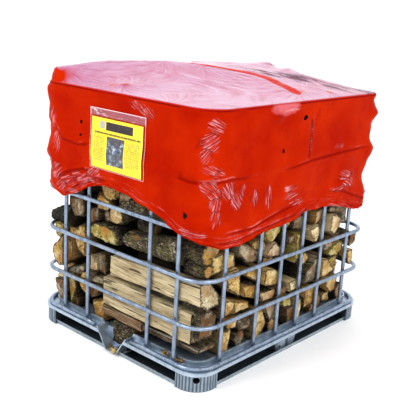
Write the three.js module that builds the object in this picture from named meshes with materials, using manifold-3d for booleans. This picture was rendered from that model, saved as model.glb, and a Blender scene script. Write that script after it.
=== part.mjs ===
// A full crate of split firewood: a steel tube cage on a sheet-steel pallet, packed with half-metre
// logs and wrapped over its upper half in a film hood. Millimetres, +Z up, origin on the ground at
// the middle of the pallet. The short valve side faces -Y.
import * as THREE from 'three';
import Module from 'manifold-3d';
import { mergeVertices } from 'three/addons/utils/BufferGeometryUtils.js';

const wasm = await Module();
wasm.setup();

// Pallet
const palletHalfX = 500;
const palletHalfY = 600;
const palletCorner = 95;
const sheet = 3;
const ledgeUnder = 80;
const ledgeTop = ledgeUnder + sheet;
const lipDrop = 12;
const rimHalfX = 455;
const rimHalfY = 555;
const rimCorner = 70;
const rimTop = 112;
const bead = 4;
const touch = 0.3;

// Valve recess in the front of the tray: half widths at its floor, at the ledge and at the rim
const recess = { floor: 28, ledge: 88, rim: 104, floorZ: 5, ledgeZ: 95, depth: 60 };

// Cage
const tube = 18;
const ringHalfX = 488;
const ringHalfY = 588;
const ringCorner = 100;
const ringHeights = [92, 263, 454, 640, 850, 1095];
const ringNames = ['base', 'second', 'third', 'fourth', 'fifth', 'top'];
const baseRingGap = 115;
const uprightInset = tube + touch;
const endUprights = [-343, -188, 188, 343];
const sideUprights = [-441, -225, -73, 73, 225, 441];

// Film hood: wall, half extents outside, and the lower edge as distance along the side and height
const film = 1.5;
const hoodHalfX = 503;
const hoodHalfY = 603;
const hoodBackExtra = 2;
const hoodCorner = 112;
const hoodTop = ringHeights[5] + tube / 2 + film + 2;
const hemFront = [[-500, 668], [-435, 655], [-335, 619], [-253, 648], [-174, 687], [-117, 710],
  [-36, 721], [48, 714], [142, 694], [281, 659], [353, 622], [466, 602], [500, 602]];
const hemRight = [[-600, 602], [-533, 582], [-457, 570], [-386, 568], [-295, 582], [-246, 597],
  [-65, 608], [40, 633], [153, 633], [277, 614], [365, 592], [475, 568], [600, 575]];
const hemBack = [[-500, 640], [-300, 600], [0, 655], [260, 615], [500, 575]];
const hemLeft = [[-600, 668], [-420, 640], [-150, 600], [150, 660], [420, 610], [600, 640]];

// Document pouch and the card in it, on the front of the film
const pouch = { x: 6, z: 909, width: 322, height: 248, thick: 0.8 };
const card = { x: 1, z: 893, width: 300, height: 206, thick: 0.7 };

// Firewood: the stacks behind the uprights, and the large logs that show
const stackHalfX = 458;
const stackHalfY = 558;
const stackCorner = 64;
const stackGap = 2;
const stackSplitY = -100;
const pocketGap = 1;
const logAlong = 500;

const steel = { color: 0x9fadbb, roughness: 0.38, metalness: 0.85 };
const pressed = { color: 0x8d9ba6, roughness: 0.45, metalness: 0.8 };
const redFilm = { color: 0xd8230a, roughness: 0.22, metalness: 0 };
const splitWood = { color: 0xc89a52, roughness: 0.8, metalness: 0 };
const barkWood = { color: 0x4a3a2a, roughness: 0.95, metalness: 0 };

const crate = new THREE.Group();

function add(name, geometry, look) {
  const mesh = new THREE.Mesh(geometry, new THREE.MeshStandardMaterial(look));
  mesh.name = name;
  crate.add(mesh);
  return mesh;
}

// Solids for cutting and joining
function solid(geometry) {
  const bare = geometry.clone();
  bare.deleteAttribute('normal');
  bare.deleteAttribute('uv');
  const merged = mergeVertices(bare, 1e-3);
  return new wasm.Manifold(new wasm.Mesh({
    numProp: 3,
    vertProperties: new Float32Array(merged.attributes.position.array),
    triVerts: new Uint32Array(merged.index.array),
  }));
}

function geometryOf(manifold) {
  const mesh = manifold.getMesh();
  const geometry = new THREE.BufferGeometry();
  geometry.setAttribute('position', new THREE.BufferAttribute(mesh.vertProperties, 3));
  geometry.setIndex(new THREE.BufferAttribute(mesh.triVerts, 1));
  geometry.computeVertexNormals();
  return geometry;
}

function largestBody(manifold) {
  return manifold.decompose().reduce((a, b) => (a.volume() > b.volume() ? a : b));
}

// Outlines
function roundedRect(halfX, halfY, radius, target = new THREE.Shape()) {
  target.moveTo(halfX, -halfY + radius);
  target.lineTo(halfX, halfY - radius);
  target.absarc(halfX - radius, halfY - radius, radius, 0, Math.PI / 2, false);
  target.lineTo(-halfX + radius, halfY);
  target.absarc(-halfX + radius, halfY - radius, radius, Math.PI / 2, Math.PI, false);
  target.lineTo(-halfX, -halfY + radius);
  target.absarc(-halfX + radius, -halfY + radius, radius, Math.PI, Math.PI * 1.5, false);
  target.lineTo(halfX - radius, -halfY);
  target.absarc(halfX - radius, -halfY + radius, radius, Math.PI * 1.5, Math.PI * 2, false);
  return target;
}

function frameOutline(halfX, halfY, radius, width) {
  const shape = roundedRect(halfX, halfY, radius);
  shape.holes.push(roundedRect(halfX - width, halfY - width, radius - width, new THREE.Path()));
  return shape;
}

function slab(shape, z0, z1, curveSegments = 4) {
  const geometry = new THREE.ExtrudeGeometry(shape, { depth: z1 - z0, bevelEnabled: false, curveSegments });
  return geometry.translate(0, 0, z0);
}

function polygon(points) {
  return new THREE.Shape(points.map(([a, b]) => new THREE.Vector2(a, b)));
}

// Prism along Y from y0 to y1 of an outline drawn in X and Z
function prismY(points, y0, y1) {
  const geometry = new THREE.ExtrudeGeometry(polygon(points), { depth: y1 - y0, bevelEnabled: false });
  return geometry.rotateX(Math.PI / 2).translate(0, y1, 0);
}

// Prism along X from x0 to x1 of an outline drawn in Y and Z
function prismX(points, x0, x1) {
  const geometry = new THREE.ExtrudeGeometry(polygon(points), { depth: x1 - x0, bevelEnabled: false });
  return geometry.rotateX(Math.PI / 2).rotateZ(Math.PI / 2).translate(x0, 0, 0);
}

// Cage rings: tubes of eight-sided section bent into rounded rectangles
function ringGeometry(z) {
  const flat = tube * Math.tan(Math.PI / 8);
  const bevel = (tube - flat) / 2;
  const shape = frameOutline(ringHalfX + flat / 2, ringHalfY + flat / 2, ringCorner + flat / 2, flat);
  const geometry = new THREE.ExtrudeGeometry(shape, {
    depth: flat, bevelEnabled: true, bevelThickness: bevel, bevelSize: bevel, bevelSegments: 1, curveSegments: 3,
  });
  return geometry.translate(0, 0, z - flat / 2);
}

ringHeights.forEach((z, level) => {
  const whole = ringGeometry(z);
  const opening = new THREE.BoxGeometry(2 * baseRingGap, 60, 40).translate(0, -ringHalfY, z);
  const geometry = level === 0 ? geometryOf(solid(whole).subtract(solid(opening))) : whole;
  add(`cage_ring_${ringNames[level]}`, geometry, steel);
});

// Cage uprights: straight tubes just inside the rings
function upright(name, x, y) {
  const foot = ringHeights[0] - tube / 2 + 1;
  const height = ringHeights[5] + tube / 2 - foot;
  const mesh = add(name, new THREE.CylinderGeometry(tube / 2, tube / 2, height, 8), steel);
  mesh.rotation.set(Math.PI / 2, 0, 0);
  mesh.position.set(x, y, foot + height / 2);
}

endUprights.forEach((x, i) => {
  upright(`upright_front_${i + 1}`, x, -(ringHalfY - uprightInset));
  upright(`upright_back_${i + 1}`, x, ringHalfY - uprightInset);
});
sideUprights.forEach((y, i) => {
  upright(`upright_left_${i + 1}`, -(ringHalfX - uprightInset), y);
  upright(`upright_right_${i + 1}`, ringHalfX - uprightInset, y);
});

// Tray: ledge with a turned-down lip, raised rim with a rolled edge, and the valve recess
function trayGeometry() {
  const ledge = solid(slab(roundedRect(palletHalfX, palletHalfY, palletCorner), ledgeUnder, ledgeTop));
  const lip = solid(slab(frameOutline(palletHalfX, palletHalfY, palletCorner, sheet), ledgeUnder - lipDrop,
    ledgeUnder + 1));
  const rim = solid(slab(frameOutline(rimHalfX, rimHalfY, rimCorner, sheet), ledgeTop - 1, rimTop - bead));
  const roll = solid(slab(frameOutline(rimHalfX + bead, rimHalfY + bead, rimCorner + bead, sheet + bead),
    rimTop - 2 * bead, rimTop));
  const front = -palletHalfY + 2;
  const back = -palletHalfY + recess.depth;
  const side = [[recess.floor, recess.floorZ], [recess.ledge, recess.ledgeZ]];
  const opening = prismY([[-recess.floor, -20], [-recess.ledge, recess.ledgeZ], [-recess.rim, rimTop + 10],
    [recess.rim, rimTop + 10], [recess.ledge, recess.ledgeZ], [recess.floor, -20]], -palletHalfY - 10, back);
  let tray = ledge.add(lip).add(rim).add(roll).subtract(solid(opening));
  for (const s of [-1, 1]) {
    const wall = side.map(([x, z]) => [s * x, z]);
    const outer = side.map(([x, z]) => [s * (x + 2 * sheet), z]).reverse();
    const points = s > 0 ? [...wall, ...outer].reverse() : [...wall, ...outer];
    tray = tray.add(solid(prismY(points, front, back + sheet)));
  }
  const floor = prismY([[-recess.floor - 2 * sheet, recess.floorZ], [recess.floor + 2 * sheet, recess.floorZ],
    [recess.floor + 2 * sheet, recess.floorZ + sheet], [-recess.floor - 2 * sheet, recess.floorZ + sheet]],
  front, back + sheet);
  const end = prismY([[-recess.floor - sheet, recess.floorZ], [recess.floor + sheet, recess.floorZ],
    [recess.ledge, ledgeTop], [-recess.ledge, ledgeTop]], back, back + sheet);
  return geometryOf(tray.add(solid(floor)).add(solid(end)));
}

add('pallet_tray', trayGeometry(), pressed);

// Corner feet: hollow pressed cups with vertical flutes outside and a round drain hole on the corner
const foot = { lengthX: 115, lengthY: 120, height: ledgeUnder - touch, wall: 3, flute: 3, flutes: 13 };
const footX = palletHalfX - sheet - touch;
const footY = -palletHalfY + sheet + touch;

// Plan of a corner foot: straight, round the corner and straight again, with flutes or inset and plain
function footOutline(inset, flutes) {
  const points = [];
  const arc = palletCorner * Math.PI / 2;
  const straightX = foot.lengthX - palletCorner;
  const straightY = foot.lengthY - palletCorner;
  const path = straightX + arc + straightY;
  const steps = flutes > 0 ? flutes * 4 : 12;
  for (let i = 0; i <= steps; i += 1) {
    const s = path * i / steps;
    const dip = flutes > 0 ? foot.flute * (1 - Math.cos(2 * Math.PI * flutes * s / path)) / 2 : 0;
    const radius = palletCorner - inset - dip;
    const turn = THREE.MathUtils.clamp((s - straightX) / palletCorner, 0, Math.PI / 2);
    const past = Math.min(Math.max(0, s - straightX - arc), straightY - inset);
    const before = Math.min(Math.max(0, straightX - s), straightX - inset);
    points.push(new THREE.Vector2(footX - palletCorner + radius * Math.sin(turn) - before,
      footY + palletCorner - radius * Math.cos(turn) + past));
  }
  points.push(new THREE.Vector2(footX - foot.lengthX + inset, footY + foot.lengthY - inset));
  return new THREE.Shape(points);
}

function cornerFoot(name, mirrorX, mirrorY) {
  const outer = solid(slab(footOutline(0, foot.flutes), 0, foot.height));
  const inner = solid(slab(footOutline(foot.wall + foot.flute, 0), -1, foot.height - foot.wall));
  const hole = new THREE.CylinderGeometry(14, 14, 60, 12);
  hole.rotateZ(Math.PI / 2).rotateZ(-Math.PI / 4).translate(footX - 28, footY + 28, 52);
  const cup = outer.subtract(inner).subtract(solid(hole));
  add(name, geometryOf(cup.scale([mirrorX, mirrorY, 1])), pressed);
}

cornerFoot('corner_foot_front_right', 1, 1);
cornerFoot('corner_foot_front_left', -1, 1);
cornerFoot('corner_foot_back_right', 1, -1);
cornerFoot('corner_foot_back_left', -1, -1);

// Middle feet: pressed U brackets, wider at the top, standing on the runner strips
const bracket = { top: 85, bottom: 62, depth: 60, wall: 4, setBack: 22, foot: sheet + touch };

function bracketSolid() {
  const height = ledgeUnder - touch;
  const outline = (inset) => [[-bracket.top + inset, height + inset / 10], [-bracket.bottom + inset, bracket.foot],
    [bracket.bottom - inset, bracket.foot], [bracket.top - inset, height + inset / 10]];
  const outer = solid(prismY(outline(0).reverse(), -bracket.depth / 2, bracket.depth / 2));
  const inner = [[-bracket.bottom + 12, bracket.foot + bracket.wall], [bracket.bottom - 12, bracket.foot + bracket.wall],
    [bracket.top - 12, height - bracket.wall], [-bracket.top + 12, height - bracket.wall]];
  const hollow = solid(prismY(inner, -bracket.depth / 2 + bracket.wall, bracket.depth));
  return outer.subtract(hollow);
}

function middleFoot(name, x, y, turn) {
  const mesh = add(name, geometryOf(bracketSolid()), pressed);
  mesh.position.set(x, y, 0);
  mesh.rotation.set(0, 0, turn);
}

const middleX = palletHalfX - bracket.setBack - bracket.depth / 2;
const middleY = palletHalfY - bracket.setBack - bracket.depth / 2;
middleFoot('middle_foot_right', middleX, 0, Math.PI / 2);
middleFoot('middle_foot_left', -middleX, 0, -Math.PI / 2);
middleFoot('middle_foot_back', 0, middleY, Math.PI);
middleFoot('centre_foot', 0, 0, Math.PI / 2);

// Runner strips: shallow channels with flared edges, lying on the ground between the feet
const runner = { half: 36, flare: 9, height: 22, inset: 52 };

function runnerOutline() {
  return [[-runner.half - runner.flare, runner.height], [-runner.half, 0], [runner.half, 0],
    [runner.half + runner.flare, runner.height], [runner.half + runner.flare - sheet, runner.height],
    [runner.half - 2, sheet], [-runner.half + 2, sheet], [-runner.half - runner.flare + sheet, runner.height]];
}

const runnerX = palletHalfX - runner.inset;
const runnerY = palletHalfY - runner.inset;
const footEndX = footX - foot.lengthX - 1;
const footEndY = -footY - foot.lengthY - 1;
add('runner_right', prismY(runnerOutline(), -footEndY, footEndY).translate(runnerX, 0, 0), pressed);
add('runner_left', prismY(runnerOutline(), -footEndY, footEndY).translate(-runnerX, 0, 0), pressed);
add('runner_back', prismX(runnerOutline(), -footEndX, footEndX).translate(0, runnerY, 0), pressed);
const runnerEdge = runner.half + runner.flare;
const recessSide = recess.floor + 2 * sheet + 16;
add('runner_front_left', prismX(runnerOutline(), -footEndX, -recessSide).translate(0, -runnerY, 0), pressed);
add('runner_front_right', prismX(runnerOutline(), recessSide, footEndX).translate(0, -runnerY, 0), pressed);
add('runner_centre', prismY(runnerOutline(), -palletHalfY + recess.depth + 10, runnerY - runnerEdge - 1), pressed);

// Film hood
function along(points, s) {
  const i = Math.max(1, points.findIndex(([at]) => at >= s));
  const [a, za] = points[i - 1];
  const [b, zb] = points[i];
  return za + (zb - za) * (s - a) / (b - a);
}

function hemHeight(x, y) {
  const onSide = Math.abs(x) - (palletHalfX - hoodCorner) > Math.abs(y) - (palletHalfY - hoodCorner);
  if (onSide) return along(x > 0 ? hemRight : hemLeft, THREE.MathUtils.clamp(y, -599, 599));
  return along(y > 0 ? hemBack : hemFront, THREE.MathUtils.clamp(x, -499, 499));
}

function step(from, to, value) {
  return THREE.MathUtils.smoothstep(value, Math.min(from, to), Math.max(from, to));
}

// Height of the heap of logs that lifts the film above the top ring
function heap(x, y) {
  const towardsLeft = 84 * Math.pow(THREE.MathUtils.clamp((470 - x) / 940, 0, 1), 0.7);
  const frontEdge = step(-600, -470, y);
  const backEdge = 0.35 + 0.65 * (1 - step(420, 600, y));
  const tent = 46 * Math.exp(-(((x - 230) / 120) ** 2) - ((y - 330) / 130) ** 2);
  return towardsLeft * frontEdge * backEdge + tent;
}

const aroundSteps = 40;
const sideRows = [1, 0.5];
const topRows = [0.965, 0.88, 0.72, 0.5, 0.25];

// Half extents of the film outside, at a share of the way from the middle to the edge
function outlinePoint(turn, inset, share) {
  const shape = { halfX: hoodHalfX - inset, halfY: hoodHalfY - inset, radius: hoodCorner - inset };
  const perSide = aroundSteps / 4;
  const side = Math.floor(turn / perSide) % 4;
  const t = (turn % perSide) / perSide;
  const corner = [[1, -1], [1, 1], [-1, 1], [-1, -1]][side];
  const cornerShare = 0.5;
  const cx = corner[0] * (shape.halfX - shape.radius);
  const cy = corner[1] * (shape.halfY - shape.radius);
  const from = -Math.PI / 2 + side * Math.PI / 2;
  let x;
  let y;
  if (t <= cornerShare) {
    const angle = from + (t / cornerShare) * Math.PI / 2;
    x = cx + shape.radius * Math.cos(angle);
    y = cy + shape.radius * Math.sin(angle);
  } else {
    const next = [[1, 1], [-1, 1], [-1, -1], [1, -1]][side];
    const k = (t - cornerShare) / (1 - cornerShare);
    const end = from + Math.PI / 2;
    const ax = cx + shape.radius * Math.cos(end);
    const ay = cy + shape.radius * Math.sin(end);
    const bx = next[0] * (shape.halfX - shape.radius) + shape.radius * Math.cos(end);
    const by = next[1] * (shape.halfY - shape.radius) + shape.radius * Math.sin(end);
    x = ax + (bx - ax) * k;
    y = ay + (by - ay) * k;
  }
  const back = y > 0 ? hoodBackExtra * y / hoodHalfY : 0;
  return [x * share, (y + back) * share];
}

// A closed solid whose rows go from the middle of the top, over the edge and down to a flat floor
function hoodSolid(inset, drop, floorZ) {
  const rows = 1 + topRows.length + 1 + sideRows.length + 1;
  const geometry = new THREE.SphereGeometry(1, aroundSteps, rows - 1);
  const position = geometry.attributes.position;
  for (let row = 0; row < rows; row += 1) {
    for (let turn = 0; turn <= aroundSteps; turn += 1) {
      const around = turn % aroundSteps;
      let point;
      if (row === 0) point = [0, 0, hoodTop + heap(0, 0) - drop];
      else if (row === rows - 1) point = [0, 0, floorZ];
      else if (row <= topRows.length) {
        const [x, y] = outlinePoint(around, inset, topRows[topRows.length - row]);
        point = [x, y, hoodTop + heap(x, y) - drop];
      } else if (row === topRows.length + 1) {
        const [x, y] = outlinePoint(around, inset, 1 - 3 / hoodHalfX);
        point = [x, y, hoodTop - drop];
      } else {
        const [x, y] = outlinePoint(around, inset, 1);
        const share = sideRows[row - topRows.length - 2];
        point = [x, y, share === 1 ? hoodTop - 8 - drop : floorZ];
      }
      position.setXYZ(row * (aroundSteps + 1) + turn, point[0], point[1], point[2]);
    }
  }
  return solid(geometry);
}

// Everything below the lower edge of the film
function belowHem() {
  const rows = 4;
  const geometry = new THREE.SphereGeometry(1, aroundSteps * 2, rows - 1);
  const position = geometry.attributes.position;
  for (let turn = 0; turn <= aroundSteps * 2; turn += 1) {
    const [x, y] = outlinePoint((turn % (aroundSteps * 2)) / 2, 0, 1);
    const stride = aroundSteps * 2 + 1;
    position.setXYZ(turn, 0, 0, 640);
    position.setXYZ(stride + turn, x * 1.06, y * 1.06, hemHeight(x, y));
    position.setXYZ(2 * stride + turn, x * 1.06, y * 1.06, 400);
    position.setXYZ(3 * stride + turn, 0, 0, 400);
  }
  return solid(geometry);
}

const hood = hoodSolid(0, 0, 520).subtract(hoodSolid(film, film + 0.5, 500)).subtract(belowHem());
add('film_hood', geometryOf(largestBody(hood)), redFilm);

// Document pouch and card, flat on the film
const pouchBack = -hoodHalfY - touch;
const pouchMesh = add('document_pouch', new THREE.BoxGeometry(pouch.width, pouch.thick, pouch.height),
  { color: 0xe8e0d0, roughness: 0.15, metalness: 0 });
pouchMesh.position.set(pouch.x, pouchBack - pouch.thick / 2, pouch.z);
const cardBack = pouchBack - pouch.thick - touch;
const cardMesh = add('label_card', new THREE.BoxGeometry(card.width, card.thick, card.height),
  { color: 0xe9c81e, roughness: 0.5, metalness: 0 });
cardMesh.position.set(card.x, cardBack - card.thick / 2, card.z);

// Large logs that show: an outline across the grain, and where the log starts and ends
const logEndY = -stackHalfY - 1;
const logEndX = stackHalfX + 1;
const logs = [
  { name: 'long_billet_upper', axis: 'x', from: -60, to: 455, look: splitWood,
    outline: [[-559, 352], [-520, 329], [-447, 329], [-447, 375], [-505, 440], [-559, 440]] },
  { name: 'long_billet_lower', axis: 'x', from: -100, to: 420, look: splitWood,
    outline: [[-559, 182], [-480, 178], [-440, 240], [-470, 312], [-559, 306]] },
  { name: 'black_bark_log', axis: 'x', from: -497, to: -232, look: barkWood,
    outline: [[-530, 470], [-482, 470], [-455, 500], [-455, 550], [-482, 580], [-530, 580], [-557, 550], [-557, 500]] },
  { name: 'wedge_log_left', axis: 'y', from: logEndY, to: logEndY + 452, look: splitWood,
    outline: [[-457, 318], [-435, 290], [-400, 272], [-370, 280], [-380, 424], [-457, 352]] },
  { name: 'bark_log_front', axis: 'y', from: logEndY, to: logEndY + 452, look: barkWood,
    outline: [[-185, 466], [-60, 466], [-48, 485], [-65, 510], [-110, 530], [-160, 525], [-192, 500]] },
  { name: 'round_log_front', axis: 'y', from: logEndY, to: logEndY + 452, look: splitWood,
    outline: [[-52, 560], [-12, 560], [10, 580], [10, 608], [-5, 628], [-60, 628], [-74, 608], [-74, 580]] },
  { name: 'half_round_log_front', axis: 'y', from: logEndY, to: logEndY + 452, look: splitWood,
    outline: [[-118, 670], [-95, 655], [-60, 652], [-32, 665], [-32, 708], [-130, 708]] },
  { name: 'block_log_right', axis: 'x', from: logEndX - logAlong + 45, to: logEndX, look: splitWood,
    outline: [[-170, 345], [-130, 328], [-42, 312], [-42, 366], [-110, 400], [-170, 415]] },
  { name: 'pale_block_log_right', axis: 'x', from: logEndX - logAlong + 45, to: logEndX, look: splitWood,
    outline: [[310, 480], [355, 452], [395, 490], [400, 525], [350, 555], [310, 560]] },
  { name: 'tall_wedge_log_right', axis: 'x', from: logEndX - logAlong + 45, to: logEndX, look: splitWood,
    outline: [[-187, 152], [-145, 152], [-105, 160], [-150, 226], [-187, 232]] },
  { name: 'slab_log_right', axis: 'x', from: logEndX - logAlong + 45, to: logEndX, look: splitWood,
    outline: [[-290, 320], [-215, 290], [-215, 360], [-317, 373]] },
  { name: 'low_wedge_log_right', axis: 'x', from: logEndX - logAlong + 45, to: logEndX, look: splitWood,
    outline: [[270, 268], [300, 262], [393, 272], [320, 345], [270, 355]] },
  { name: 'triangle_log_right', axis: 'x', from: logEndX - logAlong + 45, to: logEndX, look: splitWood,
    outline: [[140, 268], [210, 262], [240, 280], [235, 392], [140, 320]] },
];

function logGeometry(log, grow = 0) {
  const middle = log.outline.reduce(([a, b], [u, v]) => [a + u, b + v], [0, 0]).map((sum) => sum / log.outline.length);
  const outline = log.outline.map(([u, v]) => {
    const reach = Math.hypot(u - middle[0], v - middle[1]);
    return [middle[0] + (u - middle[0]) * (1 + 2 * grow / reach), middle[1] + (v - middle[1]) * (1 + 2 * grow / reach)];
  });
  const prism = log.axis === 'x' ? prismX : prismY;
  return prism(outline, log.from - grow, log.to + grow);
}

for (const log of logs) add(log.name, logGeometry(log), log.look);

// The rest of the firewood, as three stacks that reach the tips of their logs
function stackBlock() {
  const low = solid(slab(roundedRect(rimHalfX - sheet - bead, rimHalfY - sheet - bead, stackCorner), ledgeTop + touch,
    rimTop + 2));
  const high = solid(slab(roundedRect(stackHalfX, stackHalfY, stackCorner), rimTop + 1, 1300));
  return low.add(high).intersect(hoodSolid(film + 8, film + 6, 0));
}

function stack(name, x0, x1, y0, y1) {
  const box = new THREE.BoxGeometry(x1 - x0, y1 - y0, 1400).translate((x0 + x1) / 2, (y0 + y1) / 2, 600);
  let body = stackBlock().intersect(solid(box));
  for (const log of logs) body = body.subtract(solid(logGeometry(log, pocketGap)));
  const valve = prismY([[-recess.rim - 12, 130], [-recess.ledge, 60], [recess.ledge, 60], [recess.rim + 12, 130]],
    -palletHalfY, -palletHalfY + recess.depth + 10);
  add(name, geometryOf(largestBody(body.subtract(solid(valve)))), barkWood);
}

stack('firewood_stack_right', stackGap, 600, -700, 700);
stack('firewood_stack_front_left', -600, -stackGap, -700, stackSplitY - stackGap);
stack('firewood_stack_left', -600, -stackGap, stackSplitY + stackGap, 700);

export default crate;
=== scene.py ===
import math
import random

import bpy
import numpy as np
from mathutils import Matrix, Vector, noise


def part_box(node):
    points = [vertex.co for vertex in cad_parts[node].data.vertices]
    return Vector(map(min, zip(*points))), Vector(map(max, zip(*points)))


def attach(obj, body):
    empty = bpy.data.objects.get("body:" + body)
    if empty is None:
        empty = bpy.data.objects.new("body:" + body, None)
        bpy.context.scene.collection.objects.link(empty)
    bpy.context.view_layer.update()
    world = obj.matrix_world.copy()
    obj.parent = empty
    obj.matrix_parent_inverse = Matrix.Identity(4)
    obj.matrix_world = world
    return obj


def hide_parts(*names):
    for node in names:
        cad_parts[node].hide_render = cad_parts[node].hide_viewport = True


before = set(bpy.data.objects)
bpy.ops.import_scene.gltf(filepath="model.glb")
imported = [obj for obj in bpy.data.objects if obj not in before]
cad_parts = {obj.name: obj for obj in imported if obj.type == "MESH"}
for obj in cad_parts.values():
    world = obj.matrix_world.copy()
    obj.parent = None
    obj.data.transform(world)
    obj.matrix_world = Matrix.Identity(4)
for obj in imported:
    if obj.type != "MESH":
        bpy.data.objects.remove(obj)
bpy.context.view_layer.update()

# ---- Camera ----------------------------------------------------------------------------------
# Eye level of a standing person, a little to the right of the near corner. It is held slightly askew,
# so its own right and up are turned by the roll.
AZIMUTH, ELEVATION, ROLL = (math.radians(angle) for angle in (41.55, 15.32, 3.32))
STANDPOINT = Vector((2.1608, -2.5174, 1.4826))
FOCAL_LENGTH, SENSOR_WIDTH = 66.83, 36

camera = bpy.data.objects.new("camera", bpy.data.cameras.new("camera"))
bpy.context.scene.collection.objects.link(camera)
camera.data.lens = FOCAL_LENGTH
camera.data.sensor_width = SENSOR_WIDTH
backwards = Vector((math.sin(AZIMUTH) * math.cos(ELEVATION), -math.cos(AZIMUTH) * math.cos(ELEVATION),
                    math.sin(ELEVATION)))
level_right = Vector((0, 0, 1)).cross(backwards).normalized()
level_up = backwards.cross(level_right)
to_right = math.cos(ROLL) * level_right + math.sin(ROLL) * level_up
to_up = math.cos(ROLL) * level_up - math.sin(ROLL) * level_right
turned = Matrix((to_right, to_up, backwards)).transposed()
camera.matrix_world = Matrix.Translation(STANDPOINT) @ turned.to_4x4()
bpy.context.scene.camera = camera

# ---- Cage rings ------------------------------------------------------------------------------
# Six galvanised steel tubes bent into rounded rectangles, each squeezed flat where an upright is
# welded to its inside. The lowest one is open at the valve recess.
TUBE = 0.018
RING_X, RING_Y, RING_CORNER = 0.488, 0.588, 0.100
RING_NAMES = ("base", "second", "third", "fourth", "fifth", "top")
END_UPRIGHTS = (-0.343, -0.188, 0.188, 0.343)
SIDE_UPRIGHTS = (-0.441, -0.225, -0.073, 0.073, 0.225, 0.441)
BASE_RING_GAP = 0.115
WELD_REACH, WELD_FLAT, WELD_SPREAD = 0.017, 0.80, 0.12
WELD_STEPS = (0.004, 0.012, 0.022)
TUBE_SIDES, CORNER_STEPS = 16, 9
MERGE, TUBE_MERGE = 0.00005, 0.0002
SMOOTH_ANGLE = math.radians(40)


def deselect_all():
    if bpy.context.object and bpy.context.object.mode != "OBJECT":
        bpy.ops.object.mode_set(mode="OBJECT")
    bpy.ops.object.select_all(action="DESELECT")


def select_only(piece):
    deselect_all()
    piece.select_set(True)
    bpy.context.view_layer.objects.active = piece


def edit_all():
    """Starts to edit the active piece, with all of its mesh selected."""
    bpy.ops.object.mode_set(mode="EDIT")
    bpy.ops.mesh.select_all(action="SELECT")


def extrude(way):
    bpy.ops.mesh.extrude_region_move(TRANSFORM_OT_translate={"value": way})


def cut_away(piece, kind, elements, chosen):
    """Deletes the chosen faces or points of a piece. kind is FACE or VERT."""
    select_only(piece)
    edit_all()
    bpy.ops.mesh.select_mode(type=kind)
    bpy.ops.mesh.select_all(action="DESELECT")
    bpy.ops.object.mode_set(mode="OBJECT")
    elements.foreach_set("select", chosen)
    bpy.ops.object.mode_set(mode="EDIT")
    bpy.ops.mesh.delete(type=kind)
    bpy.ops.mesh.select_mode(type="EDGE")
    bpy.ops.mesh.select_all(action="SELECT")


def points_of(piece):
    flat = np.empty(len(piece.data.vertices) * 3)
    piece.data.vertices.foreach_get("co", flat)
    return flat.reshape(-1, 3)


def set_points(piece, points):
    piece.data.vertices.foreach_set("co", np.ascontiguousarray(points, dtype=float).ravel())
    piece.data.update()


def close_up(piece, merge=MERGE):
    """Merges doubles, turns every face outwards and shades the piece smooth up to an angle."""
    select_only(piece)
    edit_all()
    bpy.ops.mesh.remove_doubles(threshold=merge)
    bpy.ops.mesh.normals_make_consistent(inside=False)
    bpy.ops.object.mode_set(mode="OBJECT")
    bpy.ops.object.shade_smooth_by_angle(angle=SMOOTH_ANGLE)


def settle(piece, name, finish, slot, replaced):
    """Names a finished piece, gives it its material and fixes it to the frame."""
    piece.name = name
    piece.data.name = name
    if finish is not None:
        piece.data.materials.clear()
        piece.data.materials.append(finish)
    select_only(piece)
    bpy.ops.object.transform_apply(location=True, rotation=True, scale=True)
    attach(piece, "root")
    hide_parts(*replaced)


class Value:
    """A number or vector that runs through a material's nodes."""

    def __init__(self, finish, socket):
        self.finish = finish
        self.socket = socket

    def maths(self, operation, *others):
        return self.finish.node("ShaderNodeMath", {"operation": operation}, dict(enumerate((self, *others))))

    def __add__(self, other):
        return self.maths("ADD", other)

    def __mul__(self, other):
        return self.maths("MULTIPLY", other)

    def __sub__(self, other):
        return self.maths("SUBTRACT", other)

    def __rsub__(self, other):
        return self.finish.node("ShaderNodeMath", {"operation": "SUBTRACT"}, {0: other, 1: self})

    def __pow__(self, other):
        return self.maths("POWER", other)

    def __abs__(self):
        return self.maths("ABSOLUTE")

    __radd__ = __add__
    __rmul__ = __mul__

    def range(self, low, high, to_low=0.0, to_high=1.0):
        """Carries low to high over to to_low to to_high, and no further."""
        return self.finish.node("ShaderNodeMapRange", inputs={
            "Value": self, "From Min": low, "From Max": high, "To Min": to_low, "To Max": to_high})

    def stretched(self, scale):
        return self.finish.node("ShaderNodeMapping", inputs={"Vector": self, "Scale": scale})

    def minus(self, vector):
        return self.finish.node("ShaderNodeVectorMath", {"operation": "SUBTRACT"}, {0: self, 1: vector})

    def parts(self):
        """The three parts of a vector."""
        split = self.finish.node("ShaderNodeSeparateXYZ", inputs={0: self}).socket.node
        return [Value(self.finish, part) for part in split.outputs]


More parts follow.
